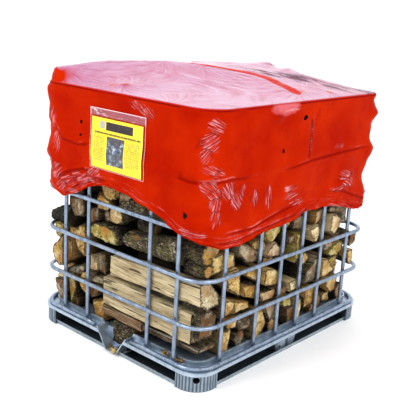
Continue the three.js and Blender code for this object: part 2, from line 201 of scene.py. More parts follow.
class Finish:
    """A material and the nodes that paint it."""

    def __init__(self, name):
        self.material = bpy.data.materials.new(name)
        self.material.use_nodes = True
        self.shader = self.material.node_tree.nodes["Principled BSDF"]

    def node(self, kind, settings=None, inputs=None, out=0):
        made = self.material.node_tree.nodes.new(kind)
        for key, value in (settings or {}).items():
            if key == "stops":
                ramp = made.color_ramp
                while len(ramp.elements) < len(value):
                    ramp.elements.new(0.5)
                for element, (at, colour) in zip(ramp.elements, value):
                    element.position = at
                    element.color = (*colour, 1)
            else:
                setattr(made, key, value)
        for key, value in (inputs or {}).items():
            self.feed(made.inputs[key], value)
        return Value(self, made.outputs[out])

    def feed(self, socket, value):
        if isinstance(value, Value):
            self.material.node_tree.links.new(value.socket, socket)
        elif isinstance(value, tuple) and len(value) == 3 and socket.type == "RGBA":
            socket.default_value = (*value, 1)
        else:
            socket.default_value = value

    def place(self):
        return self.node("ShaderNodeTexCoord", out="Object")

    def noise(self, where, scale, detail=3, roughness=0.55, distortion=0.0):
        """Soft noise. scale is one number, or three where the noise is drawn out."""
        if isinstance(scale, tuple):
            where, scale = where.stretched(scale), 1.0
        return self.node("ShaderNodeTexNoise", inputs={
            "Vector": where, "Scale": scale, "Detail": detail, "Roughness": roughness,
            "Distortion": distortion})

    def ramp(self, factor, *stops):
        return self.node("ShaderNodeValToRGB", {"stops": stops}, {"Fac": factor})

    def mix(self, colour, *layers):
        """Lays one tint after another over a colour. A layer is its tint and how much of it shows."""
        for tint, amount in layers:
            colour = self.node("ShaderNodeMix", {"data_type": "RGBA"}, {0: amount, 6: colour, 7: tint}, 2)
        return colour

    def bump(self, height, distance, strength=1.0):
        return self.node("ShaderNodeBump", inputs={
            "Height": height, "Distance": distance, "Strength": strength})

    def surface(self, **sockets):
        for key, value in sockets.items():
            self.feed(self.shader.inputs[key.replace("_", " ")], value)
        return self.material


def galvanised(name, dark, light, roughness, streaks=0.4, shade=None):
    """Zinc-coated steel: pale blue grey, faintly mottled, a little duller where it is handled. shade
    gives how dark each place is."""
    zinc = Finish(name)
    place = zinc.place()
    mottle = zinc.noise(place, 26, detail=5, roughness=0.65)
    streak = zinc.noise(place, (90, 90, 12), detail=2)
    grime = zinc.noise(place, 9, detail=4).range(0.56, 0.74)
    grain = zinc.noise(place, 420, detail=2)
    colour = zinc.mix(dark, (light, (mottle * (1 - streaks) + streak * streaks).range(0.36, 0.62)),
                      ((0.16, 0.15, 0.14), grime * 0.35))
    if shade:
        colour = zinc.mix(colour, ((0.035, 0.048, 0.062), shade(place)))
    return zinc.surface(
        Base_Color=colour, Metallic=grime.range(0, 1, 0.72, 0.35),
        Roughness=mottle.range(0.3, 0.7, roughness - 0.06, roughness + 0.12),
        Normal=zinc.bump(grain + mottle * 0.8, 0.0004, 0.35))


tube_zinc = galvanised("tube_zinc", (0.165, 0.210, 0.285), (0.335, 0.405, 0.515), 0.30)
ring_boxes = [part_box(f"cage_ring_{ring}") for ring in RING_NAMES]
ring_heights = [(low.z + high.z) / 2 for low, high in ring_boxes]


def ring_tube(height):
    """A tube section carried along each straight, in short steps at each weld, and spun round each corner."""
    deselect_all()
    bpy.ops.mesh.primitive_circle_add(vertices=TUBE_SIDES, radius=TUBE / 2, rotation=(math.pi / 2, 0, 0),
                                      location=(RING_X, -RING_Y + RING_CORNER, height))
    piece = bpy.context.object
    bpy.ops.object.transform_apply(location=True, rotation=True, scale=True)
    edit_all()
    core_x, core_y = RING_X - RING_CORNER, RING_Y - RING_CORNER
    for way_x, way_y, across_x, across_y in ((0, 1, 1, 1), (-1, 0, -1, 1), (0, -1, -1, -1), (1, 0, 1, -1)):
        reach, crossings = (core_y, SIDE_UPRIGHTS) if way_y else (core_x, END_UPRIGHTS)
        at = -reach
        for stop in (*sorted(weld + side * step for weld in crossings for side in (-1, 1)
                             for step in WELD_STEPS), reach):
            extrude((way_x * (stop - at), way_y * (stop - at), 0))
            at = stop
        bpy.ops.mesh.spin(steps=CORNER_STEPS, angle=-math.pi / 2, axis=(0, 0, 1),
                          center=(across_x * core_x, across_y * core_y, height))
    bpy.ops.object.mode_set(mode="OBJECT")
    return piece


def squeeze_at_welds(piece, height):
    """Flattens the tube towards each upright where the two are welded."""
    points = points_of(piece)
    for point in points:
        on_side = abs(point[0]) - RING_X > abs(point[1]) - RING_Y
        along, across = (1, 0) if on_side else (0, 1)
        middle = math.copysign(RING_X if on_side else RING_Y, point[across])
        nearest = min(abs(point[along] - weld) for weld in (SIDE_UPRIGHTS if on_side else END_UPRIGHTS))
        if nearest < WELD_REACH:
            spread = 1 + WELD_SPREAD * (1 - nearest / WELD_REACH)
            point[across] = middle + (point[across] - middle) * WELD_FLAT
            point[2] = height + (point[2] - height) * spread
    set_points(piece, points)


def open_at_recess(tube, height):
    """Cuts the valve recess out of a ring and caps the two ends."""
    select_only(tube)
    for side in (-1, 1):
        edit_all()
        bpy.ops.mesh.bisect(plane_co=(side * BASE_RING_GAP, -RING_Y, height), plane_no=(1, 0, 0))
    bpy.ops.object.mode_set(mode="OBJECT")
    faces = tube.data.polygons
    cut_away(tube, "FACE", faces,
             [face.center.y < 0 and abs(face.center.x) < BASE_RING_GAP - 0.001 for face in faces])
    bpy.ops.mesh.fill_holes(sides=0)
    bpy.ops.object.mode_set(mode="OBJECT")


for ring, height in zip(RING_NAMES, ring_heights):
    tube = ring_tube(height)
    close_up(tube, merge=TUBE_MERGE)
    squeeze_at_welds(tube, height)
    if ring == "base":
        open_at_recess(tube, height)
    settle(tube, f"ring_tube_{ring}", tube_zinc, "steel_tube", [f"cage_ring_{ring}"])

# ---- Cage uprights ---------------------------------------------------------------------------
# Twenty straight tubes of the same steel just inside the rings, flattened at every weld and
# pinched shut at both ends.
UPRIGHT_SIDES = 14
UPRIGHT_STEPS = (-0.020, -0.012, -0.004, 0.004, 0.012, 0.020)
PINCH_STEPS = (0.004, 0.026)
PINCH_REACH, PINCH_FLAT = 0.01, 0.55
FLAT_SPREAD = 0.45
NO_WELD = 0.03


def stand_upright(node, facing):
    """A straight tube drawn up in steps; facing is the axis that its rings lie along."""
    low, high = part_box(node)
    middle = (low + high) / 2
    deselect_all()
    bpy.ops.mesh.primitive_circle_add(vertices=UPRIGHT_SIDES, radius=TUBE / 2, fill_type="NGON",
                                      location=(middle.x, middle.y, low.z))
    piece = bpy.context.object
    bpy.ops.object.transform_apply(location=True, rotation=True, scale=True)
    edit_all()
    stops = sorted(height + step for height in ring_heights for step in UPRIGHT_STEPS)
    stops = [stop for stop in stops if low.z + NO_WELD < stop < high.z - NO_WELD]
    at = low.z
    for stop in (*(low.z + step for step in PINCH_STEPS), *stops,
                 *(high.z - step for step in reversed(PINCH_STEPS)), high.z):
        extrude((0, 0, stop - at))
        at = stop
    bpy.ops.object.mode_set(mode="OBJECT")
    points = points_of(piece)
    for point in points:
        flat = WELD_FLAT if min(abs(point[2] - height) for height in ring_heights) < WELD_REACH else 1.0
        if min(point[2] - low.z, high.z - point[2]) < PINCH_REACH:
            flat = PINCH_FLAT
        for axis, much in ((facing, flat), (1 - facing, 1 + (1 - flat) * FLAT_SPREAD)):
            point[axis] = middle[axis] + (point[axis] - middle[axis]) * much
    set_points(piece, points)
    close_up(piece)
    settle(piece, node.replace("upright", "upright_tube"), tube_zinc, "steel_tube", [node])


for sides, count, facing in ((("front", "back"), 4, 1), (("left", "right"), 6, 0)):
    for number in range(1, count + 1):
        for side in sides:
            stand_upright(f"upright_{side}_{number}", facing)

# ---- Pallet ----------------------------------------------------------------------------------
# Pressed sheet steel under the cage: a tray with a raised rim, fluted corner feet, bracket feet and
# runner strips, all zinc-coated. The solids of the part are kept, and only painted here.
FOOT_X, FOOT_Y, FOOT_CORNER = 0.4967, 0.5967, 0.095
FOLD_Y, HOLE_Y, HOLE_Z = 0.012, -0.0390, 0.0260
RUNNER_X = abs(sum(corner.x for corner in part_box("runner_right")) / 2)
RUNNER_Y = abs(sum(corner.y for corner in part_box("runner_back")) / 2)


def down_grooves(place):
    """Painted shade down the grooves and inside of a corner foot, and just under the tray."""
    x, y, z = place.parts()
    past_x = (abs(x) - (FOOT_X - FOOT_CORNER)).maths("MAXIMUM", 0.0)
    past_y = (abs(y) - (FOOT_Y - FOOT_CORNER)).maths("MAXIMUM", 0.0)
    out = (past_x * past_x + past_y * past_y) ** 0.5
    groove = out.range(FOOT_CORNER - 0.0004, FOOT_CORNER - 0.0026)
    return (groove * 0.75 + z.range(0.076, 0.084) * 0.45).range(0.0, 1.0)


def bracket_shade(place):
    """A middle foot, painted as two pressed columns: painted shade in the fold between them, one half in
    painted shadow, and a small hole painted as a dark spot.
    """
    _, y, z = place.parts()
    fold = abs(y - FOLD_Y).range(0.012, 0.006)
    off_y, off_z = y - HOLE_Y, z - HOLE_Z
    hole = ((off_y * off_y + off_z * off_z) ** 0.5).range(0.0075, 0.0060)
    shadow = (y.range(-0.046, -0.056) * 0.55).maths("MAXIMUM", fold * 0.75)
    return shadow.maths("MAXIMUM", hole * 0.95)


def runner_shade_and_dirt(place):
    """A runner is an open channel: its inside is painted dark, as the shade and dirt in it, and only its
    outer lip is left light.
    """
    x, y, _ = place.parts()
    past = (abs(x) - RUNNER_X).maths("MAXIMUM", abs(y) - RUNNER_Y)
    return past.range(0.0365, 0.0320) * 0.84


bracket_zinc = galvanised("bracket_zinc", (0.22, 0.28, 0.35), (0.42, 0.49, 0.56), 0.42, shade=bracket_shade)
PALLET_FINISHES = {
    "pallet": galvanised("tray_zinc", (0.33, 0.41, 0.50), (0.50, 0.58, 0.67), 0.36, streaks=0.1),
    "corner_foot": galvanised("foot_zinc", (0.21, 0.27, 0.33), (0.38, 0.45, 0.52), 0.42, shade=down_grooves),
    "middle_foot": bracket_zinc,
    "centre_foot": bracket_zinc,
    "runner": galvanised("runner_zinc", (0.20, 0.25, 0.29), (0.42, 0.48, 0.53), 0.45, shade=runner_shade_and_dirt)}
for name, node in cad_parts.items():
    for start, finish in PALLET_FINISHES.items():
        if name.startswith(start):
            for material_slot in node.material_slots:
                material_slot.link = "OBJECT"
                material_slot.material = finish


# ---- Firewood --------------------------------------------------------------------------------
# Half-metre logs of mixed hardwood, sawn to length, split by wedge and stacked by hand. A log is
# round where it keeps its bark and flat where it was split; its sawn ends show the growth rings.
MM = 0.001
STACK_X, STACK_Y = 0.458, 0.558
LOG_END_X, LOG_END_Y = 0.459, -0.559
LOG_LENGTH = 0.455
UNSPLIT = 0.2
DRIFT, TAPER, SLANT, PITH_OFF = 0.012, 0.10, 0.11, 0.05
FIBRE_DEPTH, TEAR_DEPTH, LUMP_DEPTH, FURROW_DEPTH, SAW_DEPTH = 0.0013, 0.0021, 0.0036, 0.0044, 0.0014
BARK, SPLIT, SAWN = 0, 1, 2
SHOWN_END, HIDDEN_END = 0.999, 0.001
# Stains of dry firewood, as linear colours
STAINS = {
    "cream": (0.72, 0.57, 0.31), "pink": (0.55, 0.39, 0.23), "straw": (0.62, 0.43, 0.14),
    "ochre": (0.47, 0.28, 0.060), "olive": (0.40, 0.32, 0.060), "orange": (0.40, 0.215, 0.058),
    "brown": (0.16, 0.090, 0.036), "grey": (0.25, 0.20, 0.125), "weathered": (0.50, 0.405, 0.235),
    "dark": (0.045, 0.027, 0.013)}


def log_blank(sides, steps, end_rings):
    """A round bolt one unit in radius and one unit long, with rings cut into the end that shows."""
    deselect_all()
    bpy.ops.mesh.primitive_circle_add(vertices=sides, radius=1, location=(0, 0, 0), fill_type="NGON")
    piece = bpy.context.object
    piece["sides"] = sides
    edit_all()
    for _ in range(steps):
        extrude((0, 0, 1 / steps))
    for _ in range(end_rings):
        bpy.ops.mesh.inset(thickness=1 / (end_rings + 1.2))
    bpy.ops.mesh.poke()
    bpy.ops.mesh.select_all(action="SELECT")
    bpy.ops.mesh.normals_make_consistent(inside=False)
    bpy.ops.object.mode_set(mode="OBJECT")
    return piece


def smooth_noise(points, size, seed, stretch=(1, 1, 1)):
    """Soft noise at many points, between -1 and 1. size is the width of its bumps in metres, and stretch
    draws them out along a part that is below one."""
    rng = np.random.RandomState(seed)
    points = points * np.array(stretch)
    total = np.zeros(len(points))
    for octave in range(7):
        wave = rng.normal(size=3) / size * (1.0 + 0.35 * octave)
        total += np.sin(points @ wave * 2.2 + rng.uniform(0, 2 * math.pi))
    return total / 3.2


def paint_points(piece, **fields):
    """Stores a vector for each point of a piece, which its materials read by name."""
    for name, values in fields.items():
        field = piece.data.attributes.new(name, "FLOAT_VECTOR", "POINT")
        field.data.foreach_set("vector", values.ravel())


def radii_of(angles, planes, bark_radius):
    """Distance from the middle to the log's surface at each angle, and where it was split."""
    reach = np.full(len(angles), bark_radius)
    split = np.zeros(len(angles), bool)
    for across, up, distance in planes:
        facing = np.cos(angles) * across + np.sin(angles) * up
        limit = np.where(facing > 0.05, distance / np.maximum(facing, 0.05), 9.0)
        split |= limit < reach
        reach = np.minimum(reach, limit)
    return reach, split


def planes_of(outline, middle):
    """The split planes of an outline, as directions and distances from its middle."""
    planes = []
    for (u0, v0), (u1, v1) in zip(outline, outline[1:] + outline[:1]):
        size = math.hypot(v1 - v0, u0 - u1)
        across, up = (v1 - v0) / size, (u0 - u1) / size
        distance = (u0 - middle[0]) * across + (v0 - middle[1]) * up
        sign = -1 if distance < 0 else 1
        planes.append((across * sign, up * sign, distance * sign))
    return planes


def cut_log(blank, middle, planes, bark_radius, start, end, axis, seed, stain, corners=(), pith=None,
            bark_tone=0.5, drift=None, bark_span=None, slim=0.0):
    """Copies the blank and works it to size. start and end are along the axis; end is the one that shows.
    bark_span is where its outside is bark, in degrees; slim is how much thinner the end is than the start."""
    rng = random.Random(seed)
    piece = blank.copy()
    piece.data = blank.data.copy()
    bpy.context.scene.collection.objects.link(piece)
    sides = blank["sides"]
    unit = points_of(piece)
    turn = np.round(np.arctan2(unit[:, 1], unit[:, 0]) / (2 * math.pi) * sides).astype(int) % sides
    out = np.hypot(unit[:, 0], unit[:, 1])
    along = unit[:, 2]
    angles = np.arange(sides) * 2 * math.pi / sides
    for u, v in corners:
        corner = math.atan2(v - middle[1], u - middle[0]) % (2 * math.pi)
        if math.hypot(u - middle[0], v - middle[1]) < bark_radius * 1.02:
            angles[int(round(corner / (2 * math.pi) * sides)) % sides] = corner
    reach, split = radii_of(angles, planes, bark_radius)
    if bark_span:
        low, high = (math.radians(edge) for edge in bark_span)
        split &= (angles - low) % (2 * math.pi) > high - low

    # The body: drifting off line and tapering a little away from the end that shows
    away = 1 - along
    shift = drift or (rng.uniform(-DRIFT, DRIFT), rng.uniform(-DRIFT, DRIFT))
    taper = (1 - rng.uniform(0.0, TAPER) * away) * (1 - slim * along ** 1.3)
    radius = reach[turn] * np.minimum(out, 1.0) * taper
    normal_u, normal_v = np.cos(angles[turn]), np.sin(angles[turn])
    u = middle[0] + radius * normal_u + shift[0] * away
    v = middle[1] + radius * normal_v + shift[1] * away
    w = start + (end - start) * along
    body = np.stack([u, v, w], 1)

    # The relief: furrowed bark, torn fibres along the split faces, saw marks across the end
    on_outside = out > 0.99
    furrow = np.abs(smooth_noise(body, 0.012, seed, (1, 1, 0.30))) - 0.4
    lumps = smooth_noise(body, 0.05, seed + 1)
    fibres = smooth_noise(body, 0.011, seed + 2, (1, 1, 0.05))
    tears = smooth_noise(body, 0.035, seed + 3, (1, 1, 0.25))
    saw_marks = smooth_noise(body, 0.02, seed + 4, (1, 1, 0))
    relief = on_outside * np.where(split[turn], FIBRE_DEPTH * fibres + TEAR_DEPTH * tears,
                                   LUMP_DEPTH * lumps - FURROW_DEPTH * furrow)
    u = u + relief * normal_u
    v = v + relief * normal_v
    slant_u, slant_v = rng.uniform(-SLANT, SLANT), rng.uniform(-SLANT, SLANT)
    outwards = 1 if end > start else -1
    lean = (u - middle[0]) * slant_u + (v - middle[1]) * slant_v + SAW_DEPTH * (saw_marks - on_outside)
    w = w + np.where(along > SHOWN_END, lean * outwards, 0)
    set_points(piece, np.stack([w, u, v] if axis == "x" else [u, w, v], 1))

    # Grain from the pith, the log's own stain, and how far out each point is and how dark its bark
    heart = pith or [part + rng.uniform(-PITH_OFF, PITH_OFF) for part in middle]
    grain = np.stack([u - heart[0], v - heart[1], w + rng.uniform(0, 7)], 1)
    stains = np.tile(STAINS[stain], (len(unit), 1)) * rng.uniform(0.88, 1.1)
    wear = np.stack([out, np.full(len(unit), bark_tone), np.zeros(len(unit))], 1)
    paint_points(piece, grain=grain, stain=stains, wear=wear)

    # Each face is bark, split wood or sawn end
    kinds = np.empty(len(piece.data.polygons), np.int32)
    corner_points = np.empty(len(piece.data.loops), np.int32)
    piece.data.loops.foreach_get("vertex_index", corner_points)
    for number, face in enumerate(piece.data.polygons):
        mine = corner_points[face.loop_start:face.loop_start + face.loop_total]
        if along[mine].min() > SHOWN_END or along[mine].max() < HIDDEN_END:
            kinds[number] = SAWN
        else:
            kinds[number] = SPLIT if split[turn[mine]].any() else BARK
    piece.data.polygons.foreach_set("material_index", kinds)
    piece.data.polygons.foreach_set("use_smooth", kinds == BARK)
    for finish in LOG_FINISHES:
        piece.data.materials.append(finish)
    return piece


def wood_inputs(wood):
    """What every face of a log reads: grain, stain, how far out, how dark its bark is, and how deep in
    the stack, which sets the painted shade between the logs."""
    grain, stain, wear = (wood.node("ShaderNodeAttribute", {"attribute_name": name}, out="Vector")
                          for name in ("grain", "stain", "wear"))
    out, bark_tone, _ = wear.parts()
    x, y, _ = wood.place().parts()
    depth = (LOG_END_X - abs(x)).maths("MINIMUM", -LOG_END_Y - abs(y))
    return grain, stain, out, bark_tone, depth


def split_wood(name):
    """Dry split wood: its own stain, streaked and torn along the grain, with cracks, and painted shade deeper
    in the stack.
    """
    wood = Finish(name)
    grain, stain, _, _, depth = wood_inputs(wood)
    streak = wood.noise(grain, (120, 120, 5.6), detail=5, roughness=0.65, distortion=0.4)
    fibre = wood.noise(grain, (516, 516, 16.8))
    patch = wood.noise(grain, (13.5, 13.5, 6), detail=4, roughness=0.6)
    crack = wood.noise(grain, (95, 95, 3.6), detail=4, distortion=1.1).range(0.605, 0.65)
    torn = wood.noise(grain, (45, 45, 12), detail=4, roughness=0.7).range(0.60, 0.68)
    pale = wood.mix(stain, ((0.92, 0.84, 0.68), 0.26))
    deep = wood.mix(stain, ((0.16, 0.065, 0.018), 0.62))
    colour = wood.mix(
        pale, (stain, streak.range(0.36, 0.50)), (deep, (streak * 0.6 + patch * 0.6).range(0.60, 0.78)),
        ((0.80, 0.66, 0.44), fibre.range(0.58, 0.76) * 0.30), ((0.022, 0.012, 0.006), crack * 0.92),
        ((0.11, 0.062, 0.026), torn * 0.75), ((0.012, 0.008, 0.005), depth.range(0.012, 0.090) * 0.95))
    rough = wood.bump(streak * 1.4 + fibre * 0.5 - crack * 1.6 + torn * 0.5, 0.0040)
    return wood.surface(Base_Color=colour, Roughness=streak.range(0.3, 0.7, 0.62, 0.88), Normal=rough)


def sawn_wood(name):
    """Sawn end grain: its own stain in rings round the pith, a dark heart, drying cracks, a dark rim that is
    partly its own darker edge and partly painted shade of the gaps round it, and painted shade deeper in the
    stack.
    """
    wood = Finish(name)
    grain, stain, out, _, depth = wood_inputs(wood)
    flat = grain.stretched((1, 1, 0.05))
    wobble = wood.noise(flat, 22)
    from_pith = wood.node("ShaderNodeVectorMath", {"operation": "LENGTH"}, {0: grain.stretched((1, 1, 0))},
                          out="Value")
    rings = ((from_pith * 1250 + wobble * 6).maths("SINE") + 1) * 0.5
    heart = (from_pith + (wobble - 0.5) * 0.035).range(0.038, 0.016)
    patch = wood.noise(flat, 15, detail=5, roughness=0.65)
    spots = wood.noise(flat, 70, detail=4, roughness=0.7)
    saw = wood.noise(grain, (36, 396, 1.2), detail=2)
    warm = wood.noise(grain, (10.4, 10.4, 0.39)).range(0.55, 0.70)
    crack = wood.noise(grain, (66, 66, 0.055), distortion=1.6).range(0.635, 0.675)
    rim = (out + (spots - 0.5) * 0.60).range(0.76, 0.94)
    mossy = wood.noise(flat, 31, detail=4).range(0.60, 0.70)
    pale = wood.mix(stain, ((0.95, 0.88, 0.66), 0.32))
    deep = wood.mix(stain, ((0.13, 0.062, 0.018), 0.72))
    colour = wood.mix(
        pale, (stain, (patch + (saw - 0.5) * 0.3).range(0.40, 0.52)),
        (deep, (patch + (spots - 0.5) * 0.6 + (rings - 0.5) * 0.16).range(0.52, 0.63)),
        ((0.30, 0.115, 0.022), heart * 0.5), ((0.10, 0.050, 0.016), spots.range(0.57, 0.66) * 0.55),
        ((0.55, 0.19, 0.025), warm * 0.45), ((0.03, 0.016, 0.007), crack * 0.9),
        ((0.022, 0.012, 0.006), rim * 0.92), ((0.20, 0.21, 0.04), mossy * 0.45),
        ((0.014, 0.009, 0.006), depth.range(0.030, 0.110) * 0.94))
    rough = wood.bump(saw + rings * 0.35 + patch * 0.8 + spots * 0.7 - crack * 2.4, 0.0030)
    return wood.surface(Base_Color=colour, Roughness=patch.range(0.3, 0.7, 0.68, 0.9), Normal=rough)


def rough_bark(name):
    """Furrowed bark: dark brown to grey, with flaking plates, moss and pale lichen, and painted shade deeper
    in the stack.
    """
    bark = Finish(name)
    grain, _, _, dark, depth = wood_inputs(bark)
    plates = bark.node("ShaderNodeTexVoronoi", {"feature": "DISTANCE_TO_EDGE"},
                       {"Vector": grain.stretched((80, 80, 34)), "Scale": 1.0}, out="Distance")
    furrow = plates.range(0.0, 0.22)
    fine = bark.noise(grain, (156, 156, 71.5), detail=6, roughness=0.75)
    patch = bark.noise(grain, 17, detail=4, roughness=0.6)
    shade = (fine - 0.5) * 2.6 + (patch - 0.5) * 1.3 + furrow * 0.22 - dark * 0.42 + 0.50
    moss = (bark.noise(grain, 20, detail=6, roughness=0.75) - dark * 0.08).range(0.44, 0.56)
    lichen = (bark.noise(grain, 95, detail=5, roughness=0.7) - dark * 0.08).range(0.60, 0.66)
    torn = bark.noise(grain, (26, 26, 9), detail=4).range(0.66, 0.72)
    colour = bark.ramp(shade.range(0.0, 1.0), (0.0, (0.004, 0.003, 0.002)), (0.34, (0.028, 0.019, 0.011)),
                       (0.56, (0.115, 0.078, 0.044)), (0.76, (0.28, 0.22, 0.15)), (1.0, (0.62, 0.55, 0.42)))
    colour = bark.mix(
        colour, ((0.150, 0.155, 0.030), moss * fine.range(0.40, 0.56) * 0.80),
        ((0.55, 0.53, 0.42), lichen * 0.6), ((0.36, 0.18, 0.055), torn * 0.7),
        ((0.008, 0.006, 0.004), depth.range(0.020, 0.120) * 0.92))
    rough = bark.bump(furrow * 0.7 + fine * 1.3, 0.0080)
    return bark.surface(Base_Color=colour, Roughness=fine.range(0.3, 0.7, 0.72, 0.98), Normal=rough)


LOG_FINISHES = (rough_bark("rough_bark"), split_wood("split_wood"), sawn_wood("sawn_wood"))
fine_blank = log_blank(36, 16, 4)
coarse_blank = log_blank(14, 3, 1)

# Logs that show: the corners of the sawn end in millimetres, the depth of the end behind the uprights,
# the stain, where the outside is bark, in degrees, and the name of a log that is a piece of its own.
# Front ends: corners in X and Z.
FRONT_LOGS = (
    (((-455, 474), (-362, 474), (-362, 600), (-400, 655), (-452, 640)), 112, "brown", (90, 270)),
    (((-358, 474), (-242, 474), (-242, 498), (-340, 500), (-358, 560)), 112, "brown", (0, 359)),
    (((-130, 708), (-118, 670), (-95, 655), (-60, 652), (-32, 665), (-32, 708)), 0, "straw", (180, 320),
     "half_round_log_front"),
    (((-60, 628), (-74, 608), (-74, 580), (-52, 560), (-12, 560), (10, 580), (10, 608), (-5, 628)),
     0, "cream", (0, 359), "round_log_front"),
    (((-203, 506), (-201, 489), (-174, 472), (-95, 465), (-22, 465), (-13, 492), (-40, 521), (-97, 536),
     (-162, 530)), 0, "olive", (-70, 175), "bark_log_front"),
    (((-457, 352), (-457, 318), (-435, 290), (-400, 272), (-370, 280), (-380, 424)),
     0, "ochre", (150, 290), "wedge_log_left"),
    (((-348, 576), (-340, 608), (-237, 629), (-230, 576), (-243, 541), (-311, 524)),
     3, "brown", (-60, 200)),
    (((-28, 712), (-28, 655), (30, 668), (50, 690), (50, 712)), 12, "brown", (-80, 40)),
    (((-168, 640), (-160, 594), (-100, 597), (-80, 612), (-84, 640), (-150, 668)), 10, "ochre", (180, 350)),
    (((-312, 462), (-237, 510), (-230, 455), (-238, 358), (-276, 378)), 4, "ochre", (60, 150)),
    (((-352, 415), (-352, 300), (-325, 320), (-326, 405)), 8, "orange"),
    (((-205, 372), (-204, 305), (-160, 310), (-155, 330), (-168, 378)), 14, "cream"),
    (((-152, 398), (-150, 315), (-108, 302), (-106, 408)), 16, "dark", (-100, 200)),
    (((-348, 262), (-350, 275), (-250, 312), (-238, 300), (-262, 262)), 8, "dark", (0, 359)),
    (((-258, 258), (-245, 285), (-222, 290), (-215, 258)), 4, "straw"),
    (((-205, 258), (-200, 290), (-110, 294), (-106, 262)), 6, "grey", (30, 150)),
    (((-180, 172), (-155, 122), (-110, 130), (-104, 197)), 2, "ochre", (150, 250)),
    (((-205, 248), (-202, 205), (-180, 182), (-150, 200), (-124, 248)), 5, "brown"),
    (((-270, 248), (-256, 212), (-228, 190), (-212, 190), (-212, 248)), 3, "ochre"),
    (((-350, 250), (-348, 135), (-322, 140), (-302, 185), (-304, 240), (-330, 256)),
     0, "olive", (-100, 60)),
    (((-455, 190), (-440, 150), (-408, 124), (-378, 122), (-378, 205), (-440, 200)),
     2, "brown", (170, 290)),
    (((-430, 212), (-378, 215), (-372, 248), (-395, 248)), 6, "straw"),
)
RIGHT_LOGS = (
    (((-170, 345), (-130, 328), (-42, 312), (-42, 366), (-110, 400), (-170, 415)),
     0, "straw", None, "block_log_right"),
    (((310, 480), (355, 452), (395, 490), (400, 525), (350, 555), (310, 560)),
     0, "cream", None, "pale_block_log_right"),
    (((-187, 126), (-145, 126), (-105, 150), (-150, 226), (-187, 232)),
     0, "straw", None, "tall_wedge_log_right"),
    (((-290, 320), (-215, 290), (-215, 360), (-317, 373)), 0, "ochre", (0, 120), "slab_log_right"),
    (((270, 268), (300, 262), (393, 272), (320, 345), (270, 355)), 0, "straw", None, "low_wedge_log_right"),
    (((140, 268), (210, 262), (240, 280), (235, 392), (140, 320)), 0, "grey", (90, 200),
     "triangle_log_right"),
    (((-510, 535), (-492, 460), (-365, 470), (-380, 528), (-430, 540)), 2, "straw"),
    (((-360, 530), (-335, 555), (-290, 545), (-240, 515), (-202, 492), (-215, 455), (-285, 464)),
     8, "grey", (200, 340)),
    (((-255, 540), (-245, 512), (-205, 502), (-205, 560)), 6, "ochre"),
    (((-185, 575), (-175, 540), (-140, 514), (-110, 527), (-70, 560), (-62, 602), (-130, 604)), 3, "olive"),
    (((-180, 480), (-150, 454), (-65, 454), (-62, 485), (-105, 518), (-125, 505)), 0, "pink", (200, 330)),
    (((-405, 458), (-400, 385), (-345, 345), (-322, 334), (-330, 440), (-345, 458)), 2, "straw"),
    (((-300, 418), (-182, 350), (-180, 425), (-280, 430)), 4, "ochre", (60, 120)),
    (((-410, 335), (-410, 266), (-368, 270), (-342, 318)), 2, "straw"),
    (((-345, 312), (-352, 262), (-248, 262), (-252, 288)), 6, "ochre"),
    (((-438, 325), (-438, 268), (-415, 266), (-415, 328)), 8, "brown"),
    (((-436, 245), (-430, 205), (-406, 200), (-404, 250)), 16, "dark", (0, 359)),
    (((-400, 240), (-385, 205), (-330, 198), (-314, 240)), 5, "ochre", (160, 300)),
    (((-308, 238), (-310, 205), (-290, 168), (-218, 160), (-215, 238)), 14, "dark", (0, 359)),
    (((-405, 192), (-400, 135), (-375, 122), (-355, 150), (-345, 192)), 0, "straw"),
    (((-140, 235), (-118, 192), (-95, 158), (-66, 170), (-62, 235)), 6, "grey", (180, 330)),
    (((-180, 302), (-165, 264), (-95, 264), (-75, 285), (-85, 304)), 4, "orange", (30, 150)),
    (((-60, 292), (-50, 256), (12, 260), (16, 288)), 6, "brown"),
    (((45, 520), (48, 392), (85, 395), (88, 520)), 0, "olive"),
    (((0, 512), (2, 480), (40, 490), (40, 520)), 10, "brown"),
    (((20, 600), (30, 545), (95, 526), (100, 600)), 8, "brown", (100, 300)),
    (((25, 300), (35, 258), (95, 262), (85, 304)), 2, "cream"),
    (((172, 600), (185, 537), (215, 544), (240, 558), (238, 605)), 4, "orange"),
    (((140, 520), (160, 485), (188, 458), (208, 455), (240, 498), (215, 530)), 0, "cream"),
    (((325, 370), (350, 348), (400, 344), (436, 368), (430, 408), (380, 412)), 4, "olive", (200, 330)),
    (((280, 425), (285, 392), (322, 382), (372, 418), (395, 440), (300, 442)), 10, "brown"),
    (((300, 572), (410, 550), (440, 578), (430, 608), (300, 606)), 6, "brown", (0, 180)),
    (((446, 445), (440, 300), (484, 300), (488, 445)), 50, "dark", (0, 359)),
    (((456, 560), (456, 460), (552, 460), (552, 560)), 70, "dark", (0, 359)),
    (((500, 425), (505, 365), (545, 385), (550, 430)), 0, "brown", (0, 180)),
    (((490, 345), (495, 288), (520, 274), (546, 300), (545, 345)), 0, "ochre", (180, 330)),
    (((310, 240), (330, 200), (378, 162), (425, 162), (430, 240)), 4, "ochre"),
    (((165, 235), (160, 147), (230, 152), (236, 235)), 6, "ochre", (180, 280)),
    (((112, 195), (112, 130), (130, 124), (155, 150), (148, 195)), 0, "cream"),
    (((-20, 235), (-10, 197), (60, 184), (55, 235)), 6, "olive"),
    (((38, 175), (45, 126), (80, 124), (85, 178)), 4, "brown", (180, 359)),
)
